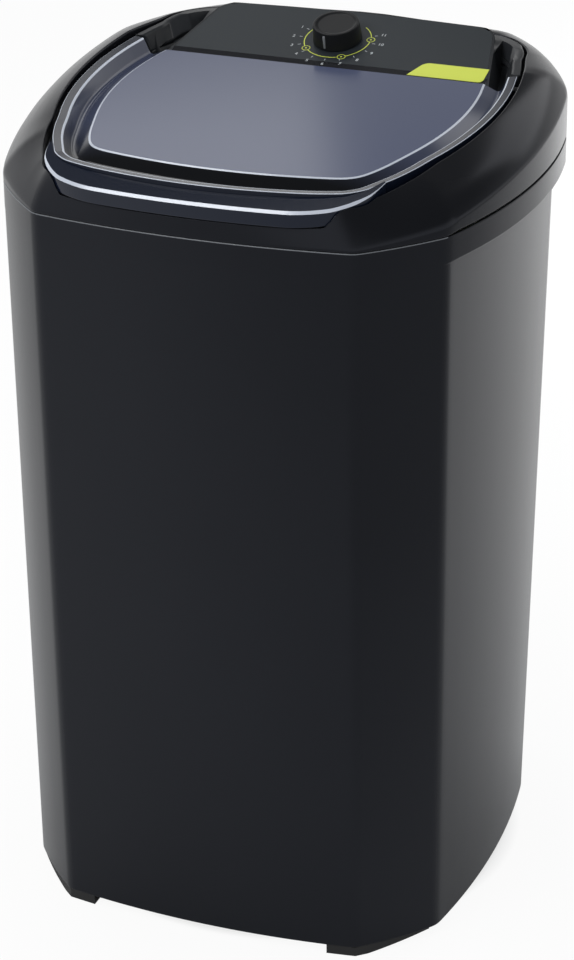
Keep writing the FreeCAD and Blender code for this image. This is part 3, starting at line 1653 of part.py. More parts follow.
pieces = {
    "cabinet": make_cabinet,
    "foot_front_left": lambda: make_foot(-1, -1),
    "foot_front_right": lambda: make_foot(1, -1),
    "foot_rear_left": lambda: make_foot(-1, 1),
    "foot_rear_right": lambda: make_foot(1, 1),
    "top_cover": make_top_cover,
    "lid_panel": make_lid_panel,
    "lid_handle": make_lid_handle,
    "lid_hinge_pins": make_lid_hinge_pins,
    "console_housing": make_console_housing,
    "console_screws": make_console_screws,
    "fascia_panel": make_fascia_panel,
    "fascia_badge": make_fascia_badge,
    "timer_knob": make_timer_knob,
    "timer_shaft": make_timer_shaft,
    "timer_body": make_timer_body,
    "timer_screws": make_timer_screws,
    "wash_tub": make_wash_tub,
    "lint_filter_frame": make_filter_frame,
    "lint_filter_mesh": make_filter_mesh,
    "impeller": make_impeller,
    "impeller_screw": make_impeller_screw,
    "impeller_cap": make_impeller_cap,
    "impeller_shaft": make_impeller_shaft,
    "shaft_seal": make_shaft_seal,
    "upper_bush": lambda: make_bush(housing_top - seal_height - bush_length),
    "lower_bush": lambda: make_bush(housing_low),
    "bearing_housing": make_bearing_housing,
    "housing_bolts": make_housing_bolts,
    "motor_bracket": make_motor_bracket,
    "bracket_screws": make_bracket_screws,
    "motor_mounts": make_motor_mounts,
    "motor_bolts": make_motor_bolts,
    "motor_can": make_motor_can,
    "motor_upper_shield": lambda: make_end_shield(can_top, shield_top, True),
    "motor_lower_shield": lambda: make_end_shield(shield_low, can_low, False),
    "stator_core": make_stator_core,
    "stator_windings": make_stator_windings,
    "rotor_core": make_rotor_core,
    "motor_shaft": make_motor_shaft,
    "motor_pulley": make_motor_pulley,
    "driven_pulley": make_driven_pulley,
    "pulley_nut": make_pulley_nut,
    "drive_belt": make_drive_belt,
    "capacitor": make_capacitor,
    "capacitor_clip": make_capacitor_clip,
    "drain_strainer": make_drain_strainer,
    "drain_elbow": make_drain_elbow,
    "drain_hose": make_drain_hose,
    "hose_clamps": make_hose_clamps,
    "drain_outlet": make_drain_outlet,
    "outlet_nut": make_outlet_nut,
    "cord_gland": make_cord_gland,
    "rear_cover": make_rear_cover,
    "rear_cover_screws": make_rear_cover_screws,
    "cover_screws": make_cover_screws,
    "tub_screws": make_tub_screws,
}

os.makedirs("parts", exist_ok=True)
for name, make in pieces.items():
    shape = make()
    shape.exportStep("parts/" + name + ".step")
    print(name, shape.isValid(), len(shape.Solids), round(shape.Volume / 1000, 1), "cm3")
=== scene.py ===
"""Looks of a compact top-loading washing machine, laid out as an add-on that also runs as a script."""

import math

import bmesh
import bpy
import numpy as np
from mathutils import Matrix, Vector


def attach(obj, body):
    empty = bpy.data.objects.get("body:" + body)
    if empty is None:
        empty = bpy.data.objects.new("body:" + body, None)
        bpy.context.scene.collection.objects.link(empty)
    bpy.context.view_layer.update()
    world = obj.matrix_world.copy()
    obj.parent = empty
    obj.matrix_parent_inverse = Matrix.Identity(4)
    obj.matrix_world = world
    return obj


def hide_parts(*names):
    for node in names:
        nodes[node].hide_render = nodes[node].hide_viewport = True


bl_info = {
    "name": "Washing machine looks",
    "version": (1, 0, 0),
    "blender": (4, 5, 0),
    "location": "3D View > Sidebar > Washer",
    "description": "Builds the visible skins, prints, materials and studio of a washing machine",
    "category": "Object",
}

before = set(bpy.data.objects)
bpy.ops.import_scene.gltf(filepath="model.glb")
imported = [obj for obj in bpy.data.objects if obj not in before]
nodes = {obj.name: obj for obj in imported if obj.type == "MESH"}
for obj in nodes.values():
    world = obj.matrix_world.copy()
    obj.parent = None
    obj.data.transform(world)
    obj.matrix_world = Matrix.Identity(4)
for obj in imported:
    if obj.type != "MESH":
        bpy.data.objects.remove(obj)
MACHINE = "machine"
MM = 0.001
# The skins lie this far inside the CAD faces.
SKIN = 0.07 * MM
# Points in a rounded corner of a plan, and along one of its sides.
CORNER_STEPS = 9
EDGE_STEPS = 24
# Angles of an even turn round the machine, those added beside each corner in degrees, and their digits.
TURN_STEPS = 240
CORNER_ANGLES = (0, 0.25, 0.5, 0.8, 1.2, 1.7, 2.3, 3.0)
ANGLE_DIGITS = 5
# Rows up the cabinet's wall, in a rounded edge, and in a rounded edge of the cover.
WALL_ROWS = 18
ROUND_STEPS = 9
COVER_ROUND_STEPS = 8
# A rounding takes up no more than this share of a side.
MOST_CUT = 0.45
# Samples of the opening's side, of a line that is worn round, and of the opening's whole outline.
SIDE_SAMPLES = 400
SOFT_SAMPLES = 1500
OUTLINE_SAMPLES = 6000
# Points closer than the first become one; the others keep divisions from zero.
WELD = 2e-6
LEAST = 1e-6
TINY = 1e-9
# Edges that turn by more than this stay sharp.
CREASE = math.radians(38)
LID_CREASE = math.radians(14)
# Corners of the lid's opening, in from the rim's: across, and front to rear.
OPENING_INSETS = ((16 * MM, 6 * MM), (30 * MM, 53 * MM), (28 * MM, 24 * MM), (6 * MM, 32 * MM))
# The lid's two front corners, in from the front's edge and from the facet's.
LID_INSETS = ((38 * MM, 22 * MM), (59 * MM, 58 * MM))
# Cabinet: rounding of its lower edge, and how far the tools reach to either side of the rear wall.
FOOT_ROUND = 1.5 * MM
TOOL_REACH = 30 * MM
# Cover: room round the opening, round the lip, under the lip, below the lid's seat and under the hinge.
OPENING_SLACK = 0.4 * MM
LIP_SLACK = 1.2 * MM
LIP_DROP = 0.8 * MM
SEAT_DROP = 0.3 * MM
HINGE_ROOM = 2 * MM
# Rounding of the ledges in the well, least height of the inner wall, and degrees over which the sides begin.
LEDGE_ROUND = 1 * MM
INNER_RISE = 0.5 * MM
SIDE_BLEND = 3
# Places of the rows up a slope, and the length from which a slope swells in full.
SLOPE_ROWS = (0.2, 0.4, 0.6, 0.8)
FULL_SLOPE = 60 * MM
# Lid: looks of its faces, rows of the rim's skirt and top that stay dark, and height above its seat.
LID_LOOKS = ["lid", "well", "lip", "edge"]
RIM_DARK_ROWS = 3
SEAT_LIFT = 0.2 * MM
# Least wear of a softened line, width of the plateau's border, and fall of its bevel over its width.
SOFT_LEAST = 0.1 * MM
PLATEAU_BORDER = 6 * MM
BEVEL_FALL = 0.8
# Front-to-rear places between which the lid's well clears from its painted black shade, and the well's tone
# against the lid's, darkened as painted shade.
PAINTED_SHADE_END = (-175 * MM, -95 * MM)
WELL_PAINTED_SHADE = 0.6
# Lip: even steps, and steps and degrees beside a corner.
LIP_STEPS = 140
LIP_CORNER_STEPS = 17
LIP_CORNER_SPAN = 4
# Gap to the lid, least width of the lip and of its hollow, least thickness of its inner wall, and roundings.
LIP_GAP = 0.3 * MM
LIP_LEAST = 2.5 * MM
HOLLOW_LEAST = 1 * MM
LIP_WALL_LEAST = 0.5 * MM
LIP_REAR_ROUND = 0.6 * MM
LIP_FRONT_ROUND = 1.2 * MM
LIP_INNER_ROUND = 0.8 * MM
# Angle over which the lip's bevel runs out at the ends, and the share that is left there.
BEVEL_RUN = math.radians(8)
BEVEL_LEAST = 0.2
# Console: how near a moved point lies, what counts as flat, which edges are rounded, and in how many steps.
RING_MATCH = 1 * MM
FLAT_ANGLE = math.radians(1)
RING_ANGLE = math.radians(25)
RING_SEGMENTS = 4
# Knob: its wall, and its roundings from the middle of the top round to the middle of the underside.
KNOB_WALL = 2.5 * MM
KNOB_ROUNDS = [0, 1 * MM, 0.5 * MM, 0.9 * MM, 0.6 * MM, 0.4 * MM, 1 * MM, 0]
# Its pointer: how far it stands out and in, its bevel, and its turn from the front.
MARK_PROUD = 0.25 * MM
MARK_DEPTH = 1 * MM
MARK_BEVEL = 0.3 * MM
MARK_SEGMENTS = 2
MARK_TURN = math.radians(-11.5)
# Printed ring: its arcs and its small circles' middles in degrees, then the line of a circle and its dot.
DIAL_ARCS = ((145, 211.5), (226.5, 286), (303, 361.5), (377, 412))
DIAL_CIRCLES = (219.1, 295.3, 369.1)
CIRCLE_WIDTH = 0.7 * MM
DOT_RADIUS = 0.5 * MM
DOT_WIDTH = 1 * MM
# Degrees to a step of a printed line, the fewest steps of one, and steps in a curve of a number.
PRINT_STEP = 3
PRINT_LEAST_STEPS = 12
NUMBER_STEPS = 3
# Materials: clouds of tone per metre, detail of the noise, spread of the gloss, and samples for soft edges.
CLOUD_SCALE = 6.0
NOISE_DETAIL = 2.0
GLOSS_SPREAD = (0.9, 1.1)
BEVEL_SAMPLES = 6


def size(name, default, description):
    """Length property in metres, given here in millimetres."""
    return bpy.props.FloatProperty(
        name=name, description=description, default=default * MM, precision=5,
        unit="LENGTH", subtype="DISTANCE",
    )


def slope(name, default, description):
    """Rise of an inclined plane over its run."""
    return bpy.props.FloatProperty(name=name, description=description, default=default, precision=4)


def angle(name, degrees, description):
    """Angle property, given here in degrees."""
    return bpy.props.FloatProperty(
        name=name, description=description, default=math.radians(degrees), subtype="ANGLE"
    )


def linear(code):
    """Scene-linear colour of an sRGB hex code."""
    parts = [int(code[i:i + 2], 16) / 255 for i in (1, 3, 5)]
    return tuple(p / 12.92 if p <= 0.04045 else ((p + 0.055) / 1.055) ** 2.4 for p in parts)


def colour(name, code, description):
    """Colour property, given here as an sRGB hex code."""
    return bpy.props.FloatVectorProperty(
        name=name, description=description, default=linear(code), subtype="COLOR", size=3, min=0, max=1
    )


class CabinetSizes(bpy.types.PropertyGroup):
    front_half: size("Front half width", 156, "From the centre to the edge between front and facet")
    front_depth: size("Front depth", 236.5, "From the centre to that edge")
    front_bow: size("Front bow", 13, "How far the front and rear faces swell")
    facet_width: size("Facet width", 64, "Width of a corner facet, seen from the front")
    facet_depth: size("Facet depth", 69, "Depth of a corner facet, seen from the side")
    facet_bow: size("Facet bow", 2.5, "How far the facets swell")
    rear_facet_depth: size("Rear facet depth", 103, "Depth of a rear facet, seen from the side")
    rim_spread: size("Rim spread", 20, "How far the rim's sides spread towards the rear")
    wall_spread: size("Wall spread", 8, "How far the walls' sides spread towards the rear")
    rim_bow: size("Rim side bow", 21, "How far the sides swell at the rim band")
    wall_bow: size("Wall side bow", 8.5, "How far the sides swell below the band")
    base_bow: size("Base side bow", 12.6, "How far the sides swell at the base")
    rim_rear_bow: size("Rim rear facet bow", 8.4, "How far the rear facets swell at the rim band")
    wall_rear_bow: size("Wall rear facet bow", 3, "How far the rear facets swell below the band")
    front_draft: size("Front draft", 7, "How far the front leans in at the base")
    side_draft: size("Side draft", 4, "How far the sides lean in at the base")
    rear_side_draft: size("Rear side draft", 14.5, "How far the rear ends of the sides lean in at the base")
    corner_draft: size("Corner draft", 2, "How far the front's edges lean in at the base")
    parting: size("Parting line", 740, "Height of the joint between cabinet and top cover")
    band: size("Rim band", 26, "Height of the band below the joint")
    wall: size("Wall", 3.2, "Thickness of the cabinet's wall")
    clearance: size("Ground clearance", 10, "Height of the cabinet's lower edge")
    edge_round: size("Edge rounding", 7, "Rounding of the upright edges")
    band_round: size("Band rounding", 2.2, "Rounding of the band's lower edge")
    line_gap: size("Parting gap", 0.35, "Half of the open joint under the top cover")
    line_round: size("Parting rounding", 0.9, "Rounding on each side of that joint")


class CoverSizes(bpy.types.PropertyGroup):
    shoulder_rise: size("Shoulder rise", 30.6, "Height of the shoulder above the joint at mid depth")
    shoulder_slope: slope("Shoulder slope", 0.117, "Rise of the shoulder towards the rear")
    deck_rise: size("Deck rise", 61.1, "Height of the well's edge above the joint at mid depth")
    deck_slope: slope("Deck slope", 0.102, "Rise of the well's edge towards the rear")
    rear_rise: size("Rear rise", 71, "Height of the level rear part above the joint")
    front_bow: size("Opening front bow", 16, "Swell of the opening's front side")
    facet_bow: size("Opening facet bow", 7.2, "Swell of the opening's facets")
    side_bow: size("Opening side bow", 21.5, "Swell of the opening's sides")
    back_bow: size("Opening back bow", 10.5, "Swell of the opening's rear facets")
    slope_bow: size("Slope bow", 9.5, "How far the slopes from shoulder to well swell")
    wall: size("Wall", 3, "Thickness of the cover")
    ledge: size("Ledge", 12, "Width of the ledge under the lid's rim")
    front_ledge: size("Front ledge", 26, "Width of the ledge at the front")
    shoulder_round: size("Shoulder rounding", 9, "Rounding of the shoulder")
    edge_round: size("Edge rounding", 2.6, "Rounding of the well's edge")
    corner_round: size("Corner rounding", 14, "Rounding of the corners, seen from above")
    side_gap: size("Side gap", 1.8, "How much wider the parting line is along the two sides")
    side_round: size("Side shoulder round", 2.5, "Rounding of the shoulder along the two sides")
    ring_inner: size("Ring inner edge", 20, "From the opening's edge to the inner edge of the console's ring")
    ring_taper: size("Ring taper", 9, "How much narrower the ring is at its top")
    ring_fill: size("Ring fill", 3, "How far the ring reaches into the gap beside it")
    valley_floor: size("Valley floor", 778, "Height of the console's sunk floor")
    ring_near: size("Ring side", 181, "From the centre to the console's ring at the sides")
    ring_rear: size("Ring rear", 206, "From the centre to the console's ring at the rear")
    ring_low: size("Ring lower edge", 776, "Height above which the ring's edges are rounded")
    ring_round: size("Ring rounding", 2.5, "Rounding of the ring's edges")


class LidSizes(bpy.types.PropertyGroup):
    gap: size("Gap", 5, "Open groove between lid and cover")
    rear: size("Rear edge", 98, "Depth of the lid's straight rear edge")
    wall: size("Wall", 2.6, "Thickness of the lid")
    skirt: size("Skirt", 16, "Height of the rim's outer wall")
    rim_rise: size("Rim rise", 59.3, "Height of the rim above the joint at mid depth")
    rim_slope: slope("Rim slope", 0.071, "Rise of the rim towards the rear")
    rim_width: size("Rim width", 9, "Width of the flat rim")
    front_bow: size("Front bow", 13, "Swell of the front edge")
    corner_bow: size("Corner bow", 7.2, "Swell of the front corners")
    facet_bow: size("Facet bow", 2.1, "Swell of the short facets")
    trough_drop: size("Trough drop", 17.4, "Depth of the trough below the rim")
    trough_slope: slope("Trough slope", 0.06, "Rise of the trough towards the rear")
    trough_inset: size("Trough inset", 17, "From the lid's edge to the trough")
    trough_front: size("Trough front inset", 33, "The same at the front")
    plateau_drop: size("Plateau drop", 8.8, "Depth of the plateau below the rim")
    plateau_slope: slope("Plateau slope", 0.048, "Rise of the plateau towards the rear")
    plateau_inset: size("Plateau inset", 33, "From the lid's edge to the plateau")
    plateau_front: size("Plateau front inset", 47.5, "The same at the front")
    trough_soft: size("Trough softness", 13, "How far the trough's corners are worn round")
    plateau_soft: size("Plateau softness", 14, "How far the plateau's corners are worn round")
    hinge_inset: size("Hinge inset", 9.5, "From the rear edge to the hinge line")
    hinge_drop: size("Hinge drop", 9.6, "From the rim's top to the hinge line")
    hinge_sweep: size("Hinge room", 15, "Room round the hinge for the lid's rear ends")
    rim_round: size("Rim rounding", 1.3, "Rounding of the rim's edges")
    rim_fall: size("Rim fall", 1.6, "How far the rim's top falls inwards")
    trough_round: size("Trough rounding", 5, "Rounding of the trough's floor")
    plateau_bevel: size("Plateau bevel", 1, "Half width of the bevel along the plateau's edge")
    corner_round: size("Corner rounding", 16, "Rounding of the corners, seen from above")
    lip_front: size("Lip front", 244, "Depth of the lip's front corners")
    lip_half: size("Lip half width", 112, "From the centre to those corners")
    lip_bow: size("Lip bow", 5.5, "Swell of the lip's front")
    lip_end_half: size("Lip end half width", 166, "From the centre to the lip's ends")
    lip_end: size("Lip end depth", 180.5, "Depth of the lip's ends")
    lip_corner_bow: size("Lip corner bow", 10.9, "Swell of the lip's corners")
    lip_rise: size("Lip rise", 83.8, "Height of the lip's top above the joint at mid depth")
    lip_slope: slope("Lip slope", 0.2, "Fall of the lip towards the front")
    lip_height: size("Lip height", 15, "Height of the lip's front face")
    lip_wall: size("Lip wall", 3, "Thickness of the lip")
    lip_bevel: size("Lip bevel", 2.0, "Width of the bevel along the lip's upper front edge, seen from above")
    lip_bevel_height: size("Lip bevel height", 2.4, "Height of that bevel")
    lip_corner_round: size("Lip corner rounding", 22, "Rounding of the lip's corners, seen from above")


class RearSizes(bpy.types.PropertyGroup):
    hatch_half: size("Hatch half width", 82, "Half width of the opening behind the rear cover")
    hatch_low: size("Hatch lower edge", 60, "Height of that opening's lower edge")
    hatch_high: size("Hatch upper edge", 222, "Height of that opening's upper edge")
    outlet_x: size("Outlet place", -130, "Where the drain outlet stands, across")
    outlet_z: size("Outlet height", 213.2, "Height of the drain outlet")
    outlet_bore: size("Outlet bore", 15.25, "Radius of the hole for the outlet")
    pocket_half: size("Pocket half size", 22, "Half size of the outlet's pocket")
    pocket_floor: size("Pocket floor", 215.3, "Depth at which the pocket's floor lies")
    gland_x: size("Cord inlet place", 125, "Where the cord inlet stands, across")
    gland_z: size("Cord inlet height", 120, "Height of the cord inlet")
    gland_bore: size("Cord inlet bore", 9.4, "Radius of the hole for the cord inlet")


class DialSizes(bpy.types.PropertyGroup):
    knob_x: size("Knob place", -5, "Where the knob stands, across")
    knob_y: size("Knob depth", 155.5, "Where the knob stands, front to rear")
    fascia_rise: size("Fascia rise", 23.4, "Height of the panel's plane above the joint at mid depth")
    fascia_slope: slope("Fascia slope", 0.269, "Rise of the panel towards the rear")
    panel_proud: size("Panel height", 0.2, "Height of the panel's face above that plane")
    knob_radius: size("Knob radius", 24.5, "Radius of the knob's skirt")
    knob_height: size("Knob height", 18.4, "Height of the knob")
    knob_lift: size("Knob lift", 0.8, "Gap between knob and panel")
    knob_taper: size("Knob taper", 1.4, "How much narrower the knob is at its top")
    knob_dish: size("Knob dish", 1.2, "Depth of the knob's hollow top")
    mark_width: size("Mark width", 2.4, "Width of the knob's pointer")
    ring_radius: size("Ring radius", 33.5, "Radius of the printed ring round the knob")
    ring_width: size("Ring width", 0.9, "Width of the printed ring")
    circle_radius: size("Circle radius", 4.0, "Radius of the small printed circles")
    tick_radius: size("Tick radius", 38.5, "Radius at which the ticks stand")
    tick_length: size("Tick length", 3.0, "Length of a tick")
    tick_width: size("Tick width", 0.55, "Width of a tick")
    number_radius: size("Number radius", 46, "Radius at which the numbers stand")
    number_height: size("Number height", 6, "Height of a number's line")
    print_height: size("Print height", 0.08, "Height of the print above the panel")
    # Painted shade: a black strip along the panel's front, for the dark line at the console's front edge.
    border_half: size("Border half width", 164, "Half width of the dark strip painted as shade at the panel's front")
    border_depth: size("Border depth", 13.5, "How far that border reaches back")
    border_inset: size("Border inset", 4, "From the lid's rear edge to the border")
    tick_count: bpy.props.IntProperty(name="Ticks", description="Number of ticks round the dial", default=11)
    tick_start: angle("First tick", 160, "Angle of the first tick")
    tick_sweep: angle("Tick sweep", 220, "Angle from the first tick to the last")


class LookColours(bpy.types.PropertyGroup):
    body: colour("Body", "#17181B", "Moulded body, near black")
    # Painted highlight: the pale tone of the cabinet's rounded top edge along the parting line.
    seam: colour("Seam", "#6A6D72", "Cabinet's top edge along the parting line, painted pale as a highlight")
    # Partly painted light: the greyer tone lifts the shade in the console's sunk valleys.
    console: colour("Console", "#26282B", "Console moulding, a little greyer than the body, partly as painted light in its valleys")
    lid: colour("Lid", "#4B526B", "Smoked blue lid")
    # Painted shade: the dark tone of the sunk band round the lid's window.
    well: colour("Lid well", "#0A0C10", "Painted shade in the sunk band round the lid's window")
    lip: colour("Lip", "#151B29", "The lid's lip")
    # Painted highlight: the pale tone of the bevels of lid and lip.
    edge: colour("Bright edge", "#C6CCD8", "Bevels of lid and lip, painted pale as highlights")
    panel: colour("Panel", "#2B3034", "Console panel")
    badge: colour("Badge", "#CFDA54", "Bare badge plate")
    knob: colour("Knob", "#1B1C1E", "Timer knob")
    mark: colour("Mark", "#7C7F83", "Knob pointer")
    ink: colour("Ink", "#C6CBCD", "Ticks and numbers")
    foot: colour("Foot", "#0F0F10", "Feet and rear cover")
    tub: colour("Tub", "#E4E6E6", "Tub and impeller")
    floor: colour("Floor", "#F4F4F4", "Studio floor")


class StageSettings(bpy.types.PropertyGroup):
    eye: bpy.props.FloatVectorProperty(
        name="Camera place", description="Where the camera stands", default=(1.0208, -2.6005, 1.7077),
        subtype="TRANSLATION", unit="LENGTH", precision=4,
    )
    azimuth: angle("Azimuth", 21.49, "Turn of the camera round the machine")
    elevation: angle("Elevation", 25.23, "Height angle of the camera")
    roll: angle("Roll", -0.62, "Tilt of the picture")
    lens: bpy.props.FloatProperty(
        name="Lens", description="Focal length for a 36 mm picture height", default=114.95,
        subtype="DISTANCE_CAMERA",
    )


# Plans, loops and meshes
def plan(points, bows, rear_bow, front_bow):
    """Corners from front to rear on the right, mirrored to the left, with the swell of each side."""
    left = [(-x, y) for x, y in reversed(points)]
    corners = np.array(list(points) + left)
    return corners, list(bows) + [rear_bow] + list(reversed(bows)) + [front_bow]


def outward(start, end):
    """Direction square to a side, away from the plan."""
    along = (end - start) / np.linalg.norm(end - start)
    return np.array([along[1], -along[0]])


def inset_corners(corners, insets):
    """Corners after each side has moved inwards by its own amount."""
    moved = []
    for i, corner in enumerate(corners):
        before = outward(corners[i - 1], corner)
        after = outward(corner, corners[(i + 1) % len(corners)])
        lap = float(before @ after)
        first = (lap * insets[i] - insets[i - 1]) / (1 - lap * lap)
        second = (lap * insets[i - 1] - insets[i]) / (1 - lap * lap)
        moved.append(corner + first * before + second * after)
    return np.array(moved)


def on_side(start, end, bow, share):
    """Points along one swelling side; share runs from 0 to 1."""
    share = np.atleast_1d(share)[:, None]
    if abs(bow) < TINY:
        return start + (end - start) * share
    half = np.linalg.norm(end - start) / 2
    radius = (half * half + bow * bow) / (2 * bow)
    normal = outward(start, end)
    along = (end - start) / (2 * half)
    centre = (start + end) / 2 + normal * (bow - radius)
    turn = (share - 0.5) * 2 * math.asin(half / radius)
    return centre + radius * (normal * np.cos(turn) + along * np.sin(turn))


def bend(first, corner, last, steps):
    """Points of a soft corner between two places on its sides."""
    t = np.linspace(0, 1, steps)[:, None]
    return (1 - t) ** 2 * first + 2 * t * (1 - t) * corner + t * t * last


def plan_points(shape, insets=0.0, soft=0.0):
    """Sides of a plan as point lists, each led by its rounded corner."""
    corners, bows = shape
    count = len(corners)
    if np.isscalar(insets):
        insets = [insets] * count
    corners = inset_corners(corners, insets)
    sides = []
    for i in range(count):
        start, end, before = corners[i], corners[(i + 1) % count], corners[i - 1]
        length = np.linalg.norm(end - start)
        cut = min(soft / length, MOST_CUT)
        cut_before = min(soft / np.linalg.norm(start - before), MOST_CUT)
        arrive = on_side(before, start, bows[i - 1], 1 - cut_before)[0]
        leave = on_side(start, end, bows[i], cut)[0]
        along = on_side(start, end, bows[i], np.linspace(cut, 1 - cut, EDGE_STEPS + 2)[1:-1])
        sides.append(np.vstack([bend(arrive, start, leave, CORNER_STEPS), along]))
    return sides


def radii(shape, angles, insets=0.0, soft=0.0):
    """Distance of a plan's outline from the centre at each angle."""
    points = np.vstack(plan_points(shape, insets, soft))
    turn = np.arctan2(points[:, 1], points[:, 0])
    return np.interp(angles, turn, np.hypot(points[:, 0], points[:, 1]), period=2 * math.pi)


def sweep(*shapes):
    """Angles for a turn round the machine, closer together near the corners of the plans."""
    spread = np.radians(CORNER_ANGLES)
    angles = list(np.linspace(-math.pi, math.pi, TURN_STEPS, endpoint=False))
    for corners, _ in shapes:
        for turn in np.arctan2(corners[:, 1], corners[:, 0]):
            angles += list(turn + spread) + list(turn - spread)
    return np.unique(np.round((np.array(angles) + math.pi) % (2 * math.pi) - math.pi, ANGLE_DIGITS))


def from_rear(angles):
    """Degrees between each angle and the rear, either way round."""
    return np.degrees(np.abs(np.angle(np.exp(1j * (np.asarray(angles) - math.pi / 2)))))


def side_ends(shape):
    """Degrees from the rear to the front end and to the rear end of a plan's long sides."""
    return from_rear([math.atan2(y, x) for x, y in (shape[0][1], shape[0][2])])


def around(radius, angles, plane):
    """Loop of points at the given distances, on an inclined plane."""
    x, y = radius * np.cos(angles), radius * np.sin(angles)
    return np.column_stack([x, y, plane[0] + plane[1] * y])


def rounded(stations, softs, closed, steps=ROUND_STEPS):
    """Rows of points along a profile, with its corners rounded."""
    count = len(stations)
    rows = []
    for k, (here, soft) in enumerate(zip(stations, softs)):
        open_end = not closed and k in (0, count - 1)
        if open_end or np.all(soft == 0):
            rows.append(here)
            continue
        before, after = stations[k - 1], stations[(k + 1) % count]
        back = np.linalg.norm(before - here, axis=1)[:, None]
        ahead = np.linalg.norm(after - here, axis=1)[:, None]
        first = here + (before - here) * np.minimum(soft, MOST_CUT * back) / np.maximum(back, TINY)
        last = here + (after - here) * np.minimum(soft, MOST_CUT * ahead) / np.maximum(ahead, TINY)
        for t in np.linspace(0, 1, steps):
            rows.append((1 - t) ** 2 * first + 2 * t * (1 - t) * here + t * t * last)
    return rows


def grid_faces(rows, columns, close_rows, close_columns, start=0):
    """Quads between rows of points, closed where asked."""
    faces = []
    for r in range(rows if close_rows else rows - 1):
        for c in range(columns if close_columns else columns - 1):
            r2, c2 = (r + 1) % rows, (c + 1) % columns
            faces.append((start + r * columns + c, start + r * columns + c2,
                          start + r2 * columns + c2, start + r2 * columns + c))
    return faces


def mesh_object(name, points, faces, crease=CREASE, slots=None):
    """Object with a clean closed mesh, smooth but for its true edges; slots give each face its material."""
    mesh = bpy.data.meshes.new(name)
    mesh.from_pydata([tuple(p) for p in points], [], faces)
    if slots:
        for _ in range(max(slots) + 1):
            mesh.materials.append(None)
        mesh.polygons.foreach_set("material_index", slots)
    work = bmesh.new()
    work.from_mesh(mesh)
    bmesh.ops.remove_doubles(work, verts=work.verts, dist=WELD)
    bmesh.ops.dissolve_degenerate(work, edges=work.edges, dist=WELD)
    bmesh.ops.recalc_face_normals(work, faces=work.faces)
    work.to_mesh(mesh)
    work.free()
    smooth(mesh, crease)
    made = bpy.data.objects.new(name, mesh)
    bpy.context.scene.collection.objects.link(made)
    return made


def loft(name, rows, close_rows, slots=None):
    """Skin over rows of points that each run once round."""
    faces = grid_faces(len(rows), len(rows[0]), close_rows, True)
    return mesh_object(name, np.vstack(rows), faces, slots=slots)


def smooth(mesh, crease=CREASE):
    """Shades a mesh smooth but for the edges that turn more than the crease."""
    mesh.polygons.foreach_set("use_smooth", [True] * len(mesh.polygons))
    mesh.set_sharp_from_angle(angle=crease)
    mesh.update()


def evaluated(made):
    """Plain mesh of an object as it stands with its modifiers."""
    return bpy.data.meshes.new_from_object(made.evaluated_get(bpy.context.evaluated_depsgraph_get()))


def applied(made):
    """Turns the modifiers' result into the object's own plain mesh."""
    old = made.data
    made.data = evaluated(made)
    made.modifiers.clear()
    bpy.data.meshes.remove(old)
    return made


def block(name, low, high):
    """Box between two corners."""
    corners = [(x, y, z) for x in (low[0], high[0]) for y in (low[1], high[1]) for z in (low[2], high[2])]
    faces = [(0, 1, 3, 2), (4, 6, 7, 5), (0, 4, 5, 1), (2, 3, 7, 6), (0, 2, 6, 4), (1, 5, 7, 3)]
    return mesh_object(name, corners, faces)


def bar_along_y(name, radius, x, z, start, end, steps=48):
    """Round bar from front to rear."""
    turn = np.linspace(0, 2 * math.pi, steps, endpoint=False)
    rings = [np.column_stack([x + radius * np.cos(turn), np.full(steps, y), z + radius * np.sin(turn)])
             for y in (start, end)]
    faces = grid_faces(2, steps, False, True) + [tuple(range(steps)), tuple(range(steps, 2 * steps))]
    return mesh_object(name, np.vstack(rings), faces)


def cut_away(made, tools):
    """Cuts the tools out of an object and removes them."""
    for tool in tools:
        cut = made.modifiers.new("Cut", "BOOLEAN")
        cut.operation, cut.solver, cut.object = "DIFFERENCE", "EXACT", tool
    applied(made)
    for tool in tools:
        bpy.data.meshes.remove(tool.data)
    smooth(made.data)
    return made


def joined(made, *others):
    """Adds the meshes of other objects to an object and removes these."""
    work = bmesh.new()
    for piece in (made, *others):
        work.from_mesh(piece.data)
    work.to_mesh(made.data)
    work.free()
    for piece in others:
        bpy.data.meshes.remove(piece.data)
    return made


def evened(made):
    """Lets the large faces set the shading next to narrow rounded edges."""
    made.modifiers.new("Shading", "WEIGHTED_NORMAL").keep_sharp = True
    return applied(made)


def place(made, body, slot, looks, *replaced):
    """Hands a finished piece to its body, in place of the CAD nodes it stands for."""
    marks = [face.material_index for face in made.data.polygons]
    made.data.materials.clear()
    for look in looks:
        made.data.materials.append(LOOKS[look])
    made.data.polygons.foreach_set("material_index", marks)
    if replaced:
        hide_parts(*replaced)
    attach(made, body)
    return made


# Plans and planes that the skins share
def cabinet_plan(cabinet, side_bow, rear_bow, spread, draft):
    """Outline of the cabinet; draft is 1 at the base and 0 at the top."""
    front_x = cabinet.front_half - draft * cabinet.corner_draft
    front_y = cabinet.front_depth - draft * cabinet.front_draft
    side_x, side_y = cabinet.front_half + cabinet.facet_width, cabinet.front_depth - cabinet.facet_depth
    side = (side_x - draft * cabinet.side_draft, draft * cabinet.side_draft - side_y)
    back_y = cabinet.front_depth - cabinet.rear_facet_depth
    back = (side_x + spread - draft * cabinet.rear_side_draft, back_y - draft * cabinet.front_draft)
    points = [(front_x, -front_y), side, back, (front_x, front_y)]
    return plan(points, [cabinet.facet_bow, side_bow, rear_bow], cabinet.front_bow, cabinet.front_bow)


def rim_plan(cabinet):
    """Outline of the band at the parting line."""
    return cabinet_plan(cabinet, cabinet.rim_bow, cabinet.rim_rear_bow, cabinet.rim_spread, 0)


